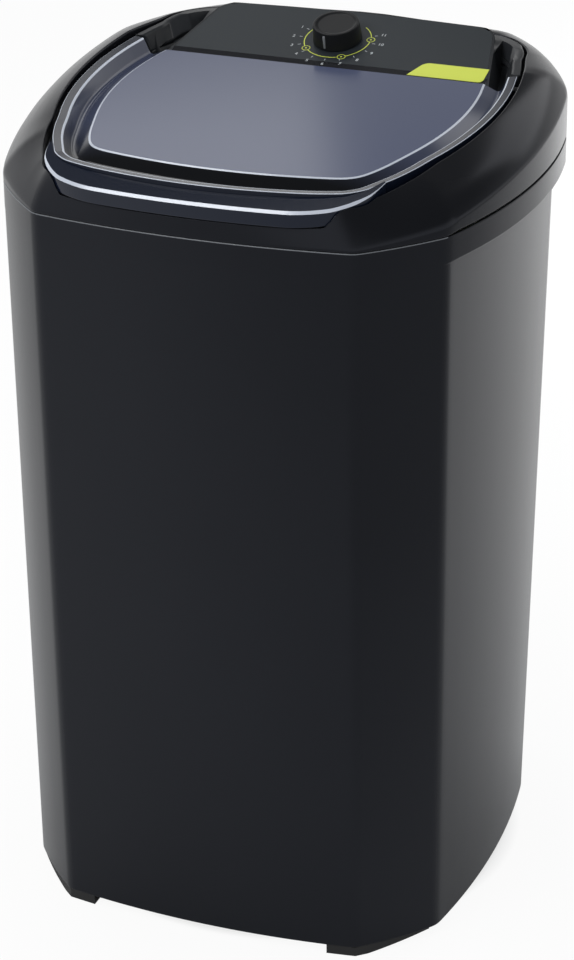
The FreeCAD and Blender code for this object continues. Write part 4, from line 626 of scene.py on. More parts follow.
def opening_plan(cabinet, cover):
    """Outline of the opening for lid and console."""
    front_x, front_y = cabinet.front_half, cabinet.front_depth
    side_x, side_y = front_x + cabinet.facet_width, front_y - cabinet.facet_depth
    corners = [(front_x, -front_y), (side_x, -side_y), (side_x, side_y), (front_x, front_y)]
    points = [
        (x - across, y - math.copysign(along, y)) for (x, y), (across, along) in zip(corners, OPENING_INSETS)
    ]
    return plan(points, [cover.facet_bow, cover.side_bow, cover.back_bow], cover.front_bow, cover.front_bow)


def opening_side(opening, cover):
    """Close points along the opening's right side."""
    return on_side(opening[0][1], opening[0][2], cover.side_bow, np.linspace(0, 1, SIDE_SAMPLES))


def lip_plan(lid):
    """The lip's front and corners; the sides behind them only close the outline."""
    points = [
        (lid.lip_half, -lid.lip_front), (lid.lip_end_half, -lid.lip_end), (lid.lip_end_half, lid.lip_end),
    ]
    return plan(points, [lid.lip_corner_bow, 0.0], 0.0, lid.lip_bow)


def lid_plan(cabinet, cover, lid):
    """Outline of the lid, straight at the rear; its sides follow the opening's."""
    opening = opening_plan(cabinet, cover)
    side = opening_side(opening, cover) - np.array([lid.gap, 0])
    rear_half = float(np.interp(lid.rear, side[:, 1], side[:, 0]))
    knee = side[0]
    chord = math.hypot(rear_half - knee[0], lid.rear - knee[1])
    half = np.linalg.norm(opening[0][2] - opening[0][1]) / 2
    radius = (half ** 2 + cover.side_bow ** 2) / (2 * cover.side_bow)
    side_bow = radius - math.sqrt(radius ** 2 - chord ** 2 / 4)
    (corner_in, corner_back), (facet_in, facet_back) = LID_INSETS
    points = [
        (cabinet.front_half - corner_in, corner_back - cabinet.front_depth),
        (cabinet.front_half + cabinet.facet_width - facet_in, facet_back - cabinet.front_depth),
        tuple(knee),
        (rear_half, lid.rear),
    ]
    return plan(points, [lid.corner_bow, lid.facet_bow, side_bow], 0.0, lid.front_bow)


def planes(cabinet, cover, lid):
    """Inclined planes as height at mid depth and rise towards the rear."""
    rim = (cabinet.parting + lid.rim_rise, lid.rim_slope)
    return {
        "shoulder": (cabinet.parting + cover.shoulder_rise, cover.shoulder_slope),
        "deck": (cabinet.parting + cover.deck_rise, cover.deck_slope),
        "rim": rim,
        "seat": (rim[0] - lid.skirt, rim[1]),
        "trough": (rim[0] - lid.trough_drop, lid.trough_slope),
        "plateau": (rim[0] - lid.plateau_drop, lid.plateau_slope),
        "lip": (cabinet.parting + lid.lip_rise, lid.lip_slope),
        "lip_low": (cabinet.parting + lid.lip_rise - lid.lip_height, lid.lip_slope),
    }


def build_cabinet(scene):
    """Cabinet as one skin, up the outside to the parting line and down inside."""
    cabinet = scene.washer_cabinet
    base = cabinet_plan(cabinet, cabinet.base_bow, cabinet.wall_rear_bow, cabinet.wall_spread, 1)
    wall = cabinet_plan(cabinet, cabinet.wall_bow, cabinet.wall_rear_bow, cabinet.wall_spread, 0)
    rim = rim_plan(cabinet)
    angles = sweep(base, wall, rim)
    low, top = cabinet.parting - cabinet.band, cabinet.parting - cabinet.line_gap
    ledge = low + cabinet.wall

    def loop(shape, height, inset=0.0):
        """Level loop along a plan."""
        return around(radii(shape, angles, inset + SKIN, cabinet.edge_round), angles, (height, 0))

    def climb(first, last):
        """Loops between two loops."""
        return [first + (last - first) * share for share in np.linspace(0, 1, WALL_ROWS)[1:-1]]

    outer_low, outer_high = loop(base, cabinet.clearance), loop(wall, low)
    inner_high, inner_low = loop(wall, ledge, cabinet.wall), loop(base, cabinet.clearance, cabinet.wall)
    stations = [
        outer_low, *climb(outer_low, outer_high), outer_high,
        loop(rim, low), loop(rim, top), loop(rim, top, cabinet.wall), loop(rim, ledge, cabinet.wall),
        inner_high, *climb(inner_high, inner_low), inner_low,
    ]
    plain = [0] * (WALL_ROWS - 2)
    edges = [cabinet.band_round, cabinet.line_round, cabinet.line_round]
    softs = [FOOT_ROUND, *plain, 0, *edges, 0, 0, *plain, 0]
    rows = rounded(stations, softs, True)
    # The rounded top edge has a look of its own, painted pale as a highlight along the front and its facets;
    # below it are the rows of foot, wall and band.
    seam = 2 * ROUND_STEPS + WALL_ROWS - 1
    front_end, _ = side_ends(rim)
    ahead = [int(turn > front_end) for turn in from_rear(angles)]
    bare = [0] * len(angles)
    slots = bare * seam + ahead * (ROUND_STEPS - 1) + bare * (len(rows) - seam - ROUND_STEPS + 1)
    return with_rear(loft("cabinet_shell", rows, True, slots), scene, base, wall)


def with_rear(made, scene, base, wall):
    """Cuts the hatch, the outlet's pocket and the cord inlet into the rear wall."""
    cabinet, rear = scene.washer_cabinet, scene.washer_rear
    back, beyond = cabinet.front_depth - TOOL_REACH, cabinet.front_depth + TOOL_REACH
    x0, x1 = rear.outlet_x - rear.pocket_half, rear.outlet_x + rear.pocket_half
    z0, z1 = rear.outlet_z - rear.pocket_half, rear.outlet_z + rear.pocket_half
    cut_away(made, [
        block("hatch_tool",
              (-rear.hatch_half, back, rear.hatch_low), (rear.hatch_half, beyond, rear.hatch_high)),
        block("pocket_tool", (x0, rear.pocket_floor, z0), (x1, beyond, z1)),
        bar_along_y("gland_tool", rear.gland_bore, rear.gland_x, rear.gland_z, back, beyond),
    ])

    def wall_depth(x, z):
        """Depth of the middle of the rear wall at a place."""
        share = (z - cabinet.clearance) / (cabinet.parting - cabinet.band - cabinet.clearance)
        shape = base[0] + (wall[0] - base[0]) * share, wall[1]
        points = np.vstack(plan_points(shape, cabinet.wall / 2))
        behind = points[points[:, 1] > 0]
        behind = behind[np.argsort(behind[:, 0])]
        return float(np.interp(x, behind[:, 0], behind[:, 1]))

    corners = []
    for grow in (cabinet.wall, 0.0):
        left, right, low, high = x0 - grow, x1 + grow, z0 - grow, z1 + grow
        sides = [(left, low), (right, low), (right, high), (left, high)]
        corners += [(x, wall_depth(x, z), z) for x, z in sides]
        corners += [(x, rear.pocket_floor - grow, z) for x, z in sides]
    faces = [(4, 5, 6, 7), (12, 13, 14, 15)]
    for i in range(4):
        k = (i + 1) % 4
        faces += [(i, k, 4 + k, 4 + i), (8 + i, 8 + k, 12 + k, 12 + i), (i, k, 8 + k, 8 + i)]
    tray = mesh_object("pocket_tray", corners, faces)
    outlet = bar_along_y("outlet_tool", rear.outlet_bore, rear.outlet_x, rear.outlet_z,
                         back - TOOL_REACH, beyond)
    cut_away(tray, [outlet])
    return evened(joined(made, tray))


def build_cover(scene):
    """Top cover as one skin: band, shoulder, slopes, well, ledge and inside."""
    cabinet, cover, lid = scene.washer_cabinet, scene.washer_cover, scene.washer_lid
    rim, opening, lip = rim_plan(cabinet), opening_plan(cabinet, cover), lip_plan(lid)
    level = planes(cabinet, cover, lid)
    angles = sweep(rim, opening, lip)
    r_rim = radii(rim, angles, SKIN, cabinet.edge_round)
    r_open = radii(opening, angles, -OPENING_SLACK, cover.corner_round)
    lip_turn = math.atan2(-lid.lip_end, lid.lip_end_half)
    in_lip = (angles > -math.pi - lip_turn) & (angles < lip_turn)
    r_lip = np.where(in_lip, radii(lip, angles, -LIP_SLACK, lid.lip_corner_round), 0)
    turn, (front_end, rear_end) = from_rear(angles), side_ends(rim)
    # From 0 at the front and the rear to 1 along the two sides.
    beside = np.clip((front_end - turn) / SIDE_BLEND, 0, 1) * np.clip((turn - rear_end) / SIDE_BLEND, 0, 1)
    low = around(r_rim, angles, (cabinet.parting + cabinet.line_gap, 0))
    low[:, 2] += cover.side_gap * beside
    shoulder = around(r_rim, angles, level["shoulder"])
    deck = around(r_open, angles, level["deck"])
    rear_top = cabinet.parting + cover.rear_rise
    floor_lip = level["lip_low"][0] - LIP_DROP
    seat_low = level["seat"][0] - SEAT_DROP
    # The well's edge: where the slope meets the lip's notch, or else the opening itself.
    y_lip = r_lip * np.sin(angles)
    floor_height = np.minimum(floor_lip + level["lip_low"][1] * y_lip, seat_low + level["seat"][1] * y_lip)
    climb = np.maximum(deck[:, 2] - shoulder[:, 2], LEAST)
    by_wall = (r_rim - r_lip) / np.maximum(r_rim - r_open, LEAST)
    by_floor = (floor_height - shoulder[:, 2]) / climb
    share = np.where(in_lip, np.clip(np.maximum(by_wall, by_floor), 0, 1), 1)[:, None]
    edge = shoulder + (deck - shoulder) * share
    edge[:, 2] = np.minimum(edge[:, 2], rear_top)
    r_edge = np.hypot(edge[:, 0], edge[:, 1])
    seat = around(r_edge, angles, (seat_low, level["seat"][1]))
    seat[:, 2] = np.where(in_lip, np.minimum(floor_height, seat[:, 2]), seat[:, 2])
    insets = [cover.ledge] * (len(opening[0]) - 1) + [cover.front_ledge]
    mouth = around(radii(opening, angles, insets, cover.corner_round), angles, (seat_low, level["seat"][1]))
    mouth[:, 2] = np.where(in_lip, np.minimum(seat[:, 2], mouth[:, 2]), mouth[:, 2])
    under = mouth - np.array([0, 0, cover.wall])
    inner = around(r_rim - cover.wall, angles, (level["shoulder"][0] - cover.wall, level["shoulder"][1]))
    inner[:, 2] = np.maximum(inner[:, 2], cabinet.parting + cabinet.line_gap + INNER_RISE)
    inner_low = around(r_rim - cover.wall, angles, (cabinet.parting + cabinet.line_gap, 0))
    inner_low[:, 2] = low[:, 2]
    slopes = swelling(shoulder, edge, angles, cover.slope_bow)
    stations = [low, shoulder, *slopes, edge, seat, mouth, under, inner, inner_low]
    shoulder_soft = (cover.shoulder_round + (cover.side_round - cover.shoulder_round) * beside)[:, None]
    plain, ledges = [0] * len(slopes), [LEDGE_ROUND] * 3
    softs = [cabinet.line_round, shoulder_soft, *plain, cover.edge_round, *ledges, 0, 0]
    made = loft("top_cover_shell", rounded(stations, softs, True, COVER_ROUND_STEPS), True)
    return evened(cut_away(made, hinge_tools(cover, lid, opening, level["rim"])))


def swelling(lower, upper, angles, bow):
    """Rows between two loops, along slopes that swell outwards."""
    outwards = np.column_stack([np.cos(angles), np.sin(angles), np.zeros(len(angles))])
    run = upper - lower
    back, rise = -np.sum(run * outwards, axis=1), run[:, 2]
    length = np.maximum(np.hypot(back, rise), LEAST)
    swell = bow * np.clip(length / FULL_SLOPE, 0, 1) * (back / length) ** 2
    push = (outwards * rise[:, None] + np.array([0, 0, 1]) * back[:, None]) / length[:, None]
    return [lower + run * u + push * (swell * 4 * u * (1 - u))[:, None] for u in SLOPE_ROWS]


def hinge_tools(cover, lid, opening, rim):
    """Blocks that clear room for the lid's rear ends round its two hinge pins."""
    hinge_y = lid.rear - lid.hinge_inset
    hinge_z = rim[0] + rim[1] * hinge_y - lid.hinge_drop
    side = opening_side(opening, cover)
    wall = float(np.interp(hinge_y, side[:, 1], side[:, 0]))
    near, far, room = wall - cover.ledge - lid.gap, wall - OPENING_SLACK, lid.hinge_sweep
    tools = []
    for x0, x1 in ((near, far), (-far, -near)):
        low = (x0, hinge_y - room, hinge_z - room - HINGE_ROOM)
        tools.append(block("hinge_tool", low, (x1, hinge_y + room, hinge_z)))
    return tools


def soften(line, spread):
    """Line with its corners worn round; its two ends stay in place."""
    along = np.concatenate([[0], np.cumsum(np.hypot(*np.diff(line, axis=0).T))])
    even = np.linspace(0, along[-1], SOFT_SAMPLES)
    fine = np.column_stack([np.interp(even, along, line[:, k]) for k in (0, 1)])
    reach = np.clip(np.minimum(along, along[-1] - along) / 2, SOFT_LEAST, spread)
    weight = np.exp(-0.5 * ((along[:, None] - even) / reach[:, None]) ** 2)
    return weight @ fine / weight.sum(axis=1, keepdims=True)


def lid_line(shape, plane, front, sides, soft, spread):
    """Open line round the lid, from its rear left to its rear right end."""
    corner = min(front, sides + (front - sides) / 4)
    insets = [corner, sides, sides, 0.0, sides, sides, corner, front]
    parts, corners = plan_points(shape, insets, soft), inset_corners(shape[0], insets)
    ordered = [parts[4][CORNER_STEPS:]] + parts[5:] + parts[:3]
    flat = np.vstack([corners[4]] + ordered + [corners[3]])
    if spread:
        flat = soften(flat, spread)
    return np.column_stack([flat, plane[0] + plane[1] * flat[:, 1]])


def build_lid(scene):
    """Lid as an upper and a lower skin: rim, sunk trough and raised plateau."""
    cabinet, cover, lid = scene.washer_cabinet, scene.washer_cover, scene.washer_lid
    shape, level = lid_plan(cabinet, cover, lid), planes(cabinet, cover, lid)

    def lowered(plane):
        """Plane of the underside."""
        return plane[0] - lid.wall, plane[1]

    def line(plane, front, sides, spread=0.0):
        """Line round the lid, in from its edge at the front and the sides."""
        return lid_line(shape, plane, front, sides, lid.corner_round, spread)

    def plateau_line(shift, drop=0.0):
        """Line along the plateau's edge."""
        plane = level["plateau"][0] - drop, level["plateau"][1]
        return line(plane, lid.plateau_front + shift, lid.plateau_inset + shift, lid.plateau_soft)

    seat = (level["seat"][0] + SEAT_LIFT, level["seat"][1])
    rim_in = (level["rim"][0] - lid.rim_fall, level["rim"][1])
    half, bevel, fall = lid.rim_width - lid.wall / 2, lid.plateau_bevel, lid.plateau_bevel * BEVEL_FALL
    upper = [
        line(seat, 0, 0), line(level["rim"], 0, 0), line(rim_in, lid.rim_width, lid.rim_width),
        line(level["trough"], lid.trough_front, lid.trough_inset, lid.trough_soft),
        plateau_line(-bevel, fall), plateau_line(bevel), plateau_line(PLATEAU_BORDER),
    ]
    lower = [
        line(seat, lid.wall, lid.wall),
        line(lowered(rim_in), lid.wall, lid.wall), line(lowered(rim_in), half, half),
        line(lowered(level["trough"]), lid.trough_front, lid.trough_inset, lid.trough_soft),
        plateau_line(lid.wall - bevel, lid.wall + fall), plateau_line(lid.wall + bevel, lid.wall),
        plateau_line(PLATEAU_BORDER, lid.wall),
    ]
    softs = [0, lid.rim_round, lid.rim_round, lid.trough_round, 0, 0, 0]
    top_rows, low_rows = rounded(upper, softs, False), rounded(lower, softs, False)
    columns, count = len(top_rows[0]), len(top_rows)
    points = np.vstack(top_rows + low_rows)
    offset = count * columns
    faces = grid_faces(count, columns, False, False) + grid_faces(count, columns, False, False, offset)
    # Materials by rows: the lip's look on the rim, edges painted pale as highlights, the sunk well in painted
    # shade, the plateau's edge painted pale as a highlight.
    well, lip, edge = (LID_LOOKS.index(look) for look in ("well", "lip", "edge"))
    looks = [lip] * RIM_DARK_ROWS + [edge] * (ROUND_STEPS + 1 - 2 * RIM_DARK_ROWS) + [lip] * RIM_DARK_ROWS
    looks += [edge] * (ROUND_STEPS - 1) + [well] * (ROUND_STEPS + 1) + [edge]
    slots = [look for look in looks for _ in range(columns - 1)]
    for col in range(columns - 1):
        faces.append((col, col + 1, offset + col + 1, offset + col))
    for col in (0, columns - 1):
        for row in range(count - 1):
            a, b = row * columns + col, (row + 1) * columns + col
            faces.append((a, b, offset + b, offset + a))
    # The flat middle: rows across from each left point to its mirror on the right.
    last = (count - 1) * columns
    for base in (last, offset + last):
        for col in range(columns // 2 - 1):
            mirror = columns - 1 - col
            faces.append((base + col, base + col + 1, base + mirror - 1, base + mirror))
        if columns % 2:
            middle = columns // 2
            faces.append((base + middle - 1, base + middle, base + middle + 1))
    faces.append((last, last + columns - 1, offset + last + columns - 1, offset + last))
    slots += [0] * (len(faces) - len(slots))
    return evened(mesh_object("lid_skin", points, faces, LID_CREASE, slots))


def build_lip(scene):
    """Front lip, hollow below, with a bevel along its upper front edge that is painted pale as a highlight.
    """
    cabinet, cover, lid = scene.washer_cabinet, scene.washer_cover, scene.washer_lid
    lip_shape, lid_shape, level = lip_plan(lid), lid_plan(cabinet, cover, lid), planes(cabinet, cover, lid)
    end = math.atan2(-lid.lip_end, lid.lip_end_half)
    corner = math.atan2(-lid.lip_front, lid.lip_half)
    near = np.radians(np.linspace(-LIP_CORNER_SPAN, LIP_CORNER_SPAN, LIP_CORNER_STEPS))
    even = np.linspace(-math.pi - end, end, LIP_STEPS)
    angles = np.concatenate([even, corner + near, -math.pi - corner + near])
    angles = np.unique(np.round(angles, ANGLE_DIGITS))
    outer = radii(lip_shape, angles, SKIN, lid.lip_corner_round)
    inner = np.minimum(radii(lid_shape, angles, -LIP_GAP, lid.corner_round), outer - LIP_LEAST)
    hollow = np.maximum(outer - lid.lip_wall, inner + HOLLOW_LEAST)
    wall_in = np.minimum(inner + lid.lip_wall, hollow - LIP_WALL_LEAST)
    roof = (level["lip"][0] - lid.lip_wall, lid.lip_slope)
    # The bevel runs out towards the lip's two ends.
    share = np.clip(np.minimum(angles - angles[0], angles[-1] - angles) / BEVEL_RUN, BEVEL_LEAST, 1)
    bevel_low = around(outer, angles, level["lip"])
    bevel_low[:, 2] -= lid.lip_bevel_height * share
    stations = [
        around(inner, angles, level["lip_low"]), around(inner, angles, level["lip"]),
        around(outer - lid.lip_bevel * share, angles, level["lip"]), bevel_low,
        around(outer, angles, level["lip_low"]),
        around(hollow, angles, level["lip_low"]), around(hollow, angles, roof),
        around(wall_in, angles, roof), around(wall_in, angles, level["lip_low"]),
    ]
    rows = rounded(stations, [0, LIP_REAR_ROUND, 0, 0, LIP_FRONT_ROUND, LIP_INNER_ROUND, 0, 0, 0], True)
    columns = len(angles)
    faces = grid_faces(len(rows), columns, True, False)
    # The bevel's row takes the second look, painted pale as a highlight.
    slots = [0] * (ROUND_STEPS + 1) * (columns - 1) + [1] * (columns - 1)
    faces.append([r * columns for r in range(len(rows))])
    faces.append([r * columns + columns - 1 for r in range(len(rows))])
    slots += [0] * (len(faces) - len(slots))
    return evened(mesh_object("lid_lip", np.vstack(rows), faces, LID_CREASE, slots))


def dense(shape, inset):
    """Close points along a plan's outline; the same place has the same index for every inset."""
    points = np.vstack(plan_points(shape, inset))
    steps = np.linspace(0, len(points) - 1, OUTLINE_SAMPLES)
    return np.column_stack([np.interp(steps, np.arange(len(points)), points[:, k]) for k in (0, 1)])


def build_console(scene):
    """Merged copy of the CAD console, with its ring narrower at the top and rounded at its edges."""
    cabinet, cover, lid = scene.washer_cabinet, scene.washer_cover, scene.washer_lid
    opening, rim = opening_plan(cabinet, cover), planes(cabinet, cover, lid)["rim"]
    inner, drawn = dense(opening, cover.ring_inner), dense(opening, cover.ring_inner - cover.ring_taper)
    outer, filled = dense(opening, lid.gap), dense(opening, lid.gap - cover.ring_fill)
    made = bpy.data.objects.new("console_shell", nodes["console_housing"].data.copy())
    scene.collection.objects.link(made)
    work = bmesh.new()
    work.from_mesh(made.data)
    bmesh.ops.remove_doubles(work, verts=work.verts, dist=WELD)
    bmesh.ops.dissolve_limit(work, angle_limit=FLAT_ANGLE, verts=work.verts, edges=work.edges)
    for vert in work.verts:
        top = min(rim[0] + rim[1] * vert.co.y, cabinet.parting + cover.rear_rise)
        climb = max(0, vert.co.z - cover.valley_floor) / (top - cover.valley_floor)
        for line, moved, share in ((inner, drawn, climb), (outer, filled, 1)):
            away = np.hypot(*(line - np.array(vert.co.xy)).T)
            k = int(np.argmin(away))
            if away[k] < RING_MATCH and vert.co.z < top + RING_MATCH:
                vert.co.xy += Vector((moved[k] - line[k]) * share)
                break
    weight = work.edges.layers.float.new("bevel_weight_edge")
    for edge in work.edges:
        mid = (edge.verts[0].co + edge.verts[1].co) / 2
        beside = abs(mid.x) > cover.ring_near or mid.y > cover.ring_rear
        if beside and mid.z > cover.ring_low and edge.calc_face_angle(0) > RING_ANGLE:
            edge[weight] = 1
    work.to_mesh(made.data)
    work.free()
    bevel = made.modifiers.new("Edges", "BEVEL")
    bevel.limit_method, bevel.width, bevel.segments = "WEIGHT", cover.ring_round, RING_SEGMENTS
    bevel.use_clamp_overlap = False
    applied(made)
    smooth(made.data)
    return evened(made)


# Knob and printed dial
def on_panel(made, scene):
    """Lays a piece that was drawn flat round the knob's place on the panel."""
    cabinet, dial = scene.washer_cabinet, scene.washer_dial
    tilt = math.atan(dial.fascia_slope)
    height = cabinet.parting + dial.fascia_rise + dial.fascia_slope * dial.knob_y + dial.panel_proud
    seat = Vector((dial.knob_x, dial.knob_y, height))
    made.data.transform(Matrix.Translation(seat) @ Matrix.Rotation(tilt, 4, "X"))
    return made


def turned(name, profile, softs, steps=96):
    """Solid of revolution about the upright axis from (radius, height) points."""
    turn = np.linspace(0, 2 * math.pi, steps, endpoint=False)
    loops = [around(r, turn, (z, 0)) for r, z in profile]
    return loft(name, rounded(loops, softs, False), False)


def build_knob(scene):
    """Hollow knob with a dished top, and the pointer let into its side."""
    dial = scene.washer_dial
    low, high, top = dial.knob_lift, dial.knob_lift + dial.knob_height, dial.knob_radius - dial.knob_taper
    wall, floor = KNOB_WALL, high - dial.knob_dish
    profile = [(0, floor), (top - 2 * wall, floor), (top - wall, high), (top, high), (dial.knob_radius, low),
               (dial.knob_radius - wall, low), (top - wall, floor - wall), (0, floor - wall)]
    cap = turned("timer_knob_cap", profile, KNOB_ROUNDS)
    half = dial.mark_width / 2
    front, back = -dial.knob_radius - MARK_PROUD, MARK_DEPTH - top
    mark = block("timer_knob_mark", (-half, front, low + wall), (half, back, high - wall))
    bevel = mark.modifiers.new("Edges", "BEVEL")
    bevel.width, bevel.segments = MARK_BEVEL, MARK_SEGMENTS
    applied(mark)
    mark.data.transform(Matrix.Rotation(MARK_TURN, 4, "Z"))
    smooth(mark.data)
    return on_panel(cap, scene), on_panel(mark, scene)


def ring_piece(name, radius, width, height, start, end):
    """Flat ring or part of one, as a thin closed solid."""
    whole = end - start == 360
    steps = max(PRINT_LEAST_STEPS, int((end - start) / PRINT_STEP))
    turn = np.radians(np.linspace(start, end, steps, endpoint=not whole))
    inner, outer = radius - width / 2, radius + width / 2
    profile = [(inner, 0), (outer, 0), (outer, height), (inner, height)]
    rows = [around(r, turn, (z, 0)) for r, z in profile]
    faces = grid_faces(len(rows), steps, True, whole)
    if not whole:
        faces += [[k * steps + column for k in range(len(rows))] for column in (0, steps - 1)]
    return mesh_object(name, np.vstack(rows), faces)


def build_rings(scene):
    """Printed ring in four arcs, with a small circle in each of its gaps."""
    dial = scene.washer_dial
    pieces = [
        ring_piece("arc", dial.ring_radius, dial.ring_width, dial.print_height, *arc) for arc in DIAL_ARCS
    ]
    for turn in np.radians(DIAL_CIRCLES):
        spot = (dial.ring_radius * math.cos(turn), dial.ring_radius * math.sin(turn), 0)
        for radius, width in ((dial.circle_radius, CIRCLE_WIDTH), (DOT_RADIUS, DOT_WIDTH)):
            circle = ring_piece("circle", radius, width, dial.print_height, 0, 360)
            circle.data.transform(Matrix.Translation(spot))
            pieces.append(circle)
    made = joined(*pieces)
    made.name = "dial_ring_print"
    return on_panel(made, scene)


def build_shade_strip(scene):
    """Black strip along the front of the panel, painted shade for the dark line at the console's front edge.
    """
    dial, lid = scene.washer_dial, scene.washer_lid
    low = (lid.rear + dial.border_inset - dial.knob_y) / math.cos(math.atan(dial.fascia_slope))
    left, right = -dial.border_half - dial.knob_x, dial.border_half - dial.knob_x
    high_corner = (right, low + dial.border_depth, dial.print_height / 2)
    made = block("fascia_shade_strip", (left, low, 0), high_corner)
    return on_panel(made, scene)


def tick_tree(material):
    """Ticks along an arc, each turned outwards."""
    tree = bpy.data.node_groups.new("Dial ticks", "GeometryNodeTree")
    tree.interface.new_socket("Geometry", in_out="OUTPUT", socket_type="NodeSocketGeometry")
    kinds = {"Count": "Int", "Radius": "Float", "Start": "Float", "Sweep": "Float", "Tick": "Vector"}
    for name, kind in kinds.items():
        tree.interface.new_socket(name, in_out="INPUT", socket_type="NodeSocket" + kind)
    given = put(tree, "NodeGroupInput").outputs
    arc = put(tree, "GeometryNodeCurveArc", {"Resolution": given["Count"], "Radius": given["Radius"],
                                             "Start Angle": given["Start"], "Sweep Angle": given["Sweep"]})
    tick = put(tree, "GeometryNodeMeshCube", {"Size": given["Tick"]})
    spot = put(tree, "GeometryNodeInputPosition").outputs[0]
    out = put(tree, "FunctionNodeAlignRotationToVector", {"Vector": spot}, axis="X").outputs["Rotation"]
    ticks = put(tree, "GeometryNodeInstanceOnPoints", {"Points": arc.outputs["Curve"], "Rotation": out,
                                                       "Instance": tick.outputs["Mesh"]})
    real = put(tree, "GeometryNodeRealizeInstances", {"Geometry": ticks.outputs["Instances"]}).outputs[0]
    dressed = put(tree, "GeometryNodeSetMaterial", {"Geometry": real, "Material": material})
    put(tree, "NodeGroupOutput", {"Geometry": dressed.outputs["Geometry"]})
    return tree


def build_ticks(scene):
    """Ticks round the dial, grown by geometry nodes."""
    dial = scene.washer_dial
    made = mesh_object("dial_tick_print", [], [])
    grow = made.modifiers.new("Ticks", "NODES")
    grow.node_group = tick_tree(LOOKS["ink"])
    values = {
        "Count": dial.tick_count, "Radius": dial.tick_radius,
        "Start": dial.tick_start, "Sweep": dial.tick_sweep,
        "Tick": (dial.tick_length, dial.tick_width, dial.print_height * 2),
    }
    for item in grow.node_group.interface.items_tree:
        if item.in_out == "INPUT":
            grow[item.identifier] = values[item.name]
    return on_panel(applied(made), scene)


def build_numbers(scene):
    """Plain numbers at the ticks."""
    dial = scene.washer_dial
    pieces = []
    for count in range(dial.tick_count):
        turn = dial.tick_start + dial.tick_sweep * count / (dial.tick_count - 1)
        text = bpy.data.curves.new("number", "FONT")
        text.body, text.size, text.extrude = str(count + 1), dial.number_height, dial.print_height / 2
        text.align_x, text.align_y = "CENTER", "CENTER"
        text.resolution_u = NUMBER_STEPS
        made = bpy.data.objects.new("number", text)
        scene.collection.objects.link(made)
        mesh = evaluated(made)
        bpy.data.curves.remove(text)
        x, y = dial.number_radius * math.cos(turn), dial.number_radius * math.sin(turn)
        mesh.transform(Matrix.Translation((x, y, dial.print_height / 2)))
        piece = bpy.data.objects.new("number", mesh)
        scene.collection.objects.link(piece)
        pieces.append(piece)
    made = joined(*pieces)
    made.name = "dial_number_print"
    return on_panel(made, scene)


# Materials
def put(tree, kind, inputs=None, **settings):
    """Adds a node with its settings; inputs are values or sockets to link."""
    made = tree.nodes.new(kind)
    for key, value in settings.items():
        setattr(made, key, value)
    for key, value in (inputs or {}).items():
        if isinstance(value, bpy.types.NodeSocket):
            tree.links.new(value, made.inputs[key])
        else:
            made.inputs[key].default_value = value
    return made


def shade(tone, factor):
    """Tone made lighter or darker, as a colour for a socket."""
    return tuple(min(1.0, t * factor) for t in tone) + (1.0,)


def fresh_tree(owner):
    """Empty node tree of a new material or world."""
    owner.use_nodes = True
    owner.node_tree.nodes.clear()
    return owner.node_tree


def surface(name, tone, rough, grain_mm, depth_mm=0.0, vary=0.12, metal=0.0, edge_mm=0.0, specular=0.5,
            sheen_tone=(1, 1, 1), painted_shade=None):
    """Moulded or metal surface: a little mottling in tone and gloss, grain in relief, soft edges, and where
    asked a painted shade that darkens it towards the front.
    """
    made = bpy.data.materials.new(name)
    tree = fresh_tree(made)
    place_at = put(tree, "ShaderNodeTexCoord").outputs["Object"]
    noises = [
        put(tree, "ShaderNodeTexNoise", {"Vector": place_at, "Scale": scale, "Detail": NOISE_DETAIL})
        for scale in (CLOUD_SCALE, 1.0 / (grain_mm * MM))
    ]
    cloud, grain = (noise.outputs["Fac"] for noise in noises)
    tint = put(tree, "ShaderNodeMix", {0: cloud, 6: shade(tone, 1 - vary), 7: shade(tone, 1 + vary)},
               data_type="RGBA")
    # Painted shade: the tone turns to the given dark colour towards the front.
    if painted_shade:
        depth_at = put(tree, "ShaderNodeSeparateXYZ", {0: place_at}).outputs["Y"]
        clear = put(tree, "ShaderNodeMapRange", {"Value": depth_at, "From Min": PAINTED_SHADE_END[0],
                                                 "From Max": PAINTED_SHADE_END[1]}).outputs["Result"]
        tint = put(tree, "ShaderNodeMix", {0: clear, 6: shade(painted_shade, 1), 7: tint.outputs[2]}, data_type="RGBA")
    gloss = put(tree, "ShaderNodeMapRange", {"Value": grain, "To Min": rough * GLOSS_SPREAD[0],
                                             "To Max": rough * GLOSS_SPREAD[1]})
    inputs = {
        "Base Color": tint.outputs[2], "Roughness": gloss.outputs["Result"], "Metallic": metal,
        "Specular IOR Level": specular, "Specular Tint": tuple(sheen_tone) + (1.0,),
    }
    normal = None
    if edge_mm:
        bevel = put(tree, "ShaderNodeBevel", {"Radius": edge_mm * MM}, samples=BEVEL_SAMPLES)
        normal = bevel.outputs["Normal"]
    if depth_mm:
        relief = {"Height": grain, "Distance": depth_mm * MM, "Strength": 1.0}
        if normal:
            relief["Normal"] = normal
        normal = put(tree, "ShaderNodeBump", relief).outputs["Normal"]
    if normal:
        inputs["Normal"] = normal
    shader = put(tree, "ShaderNodeBsdfPrincipled", inputs)
    put(tree, "ShaderNodeOutputMaterial", {"Surface": shader.outputs["BSDF"]})
    return made


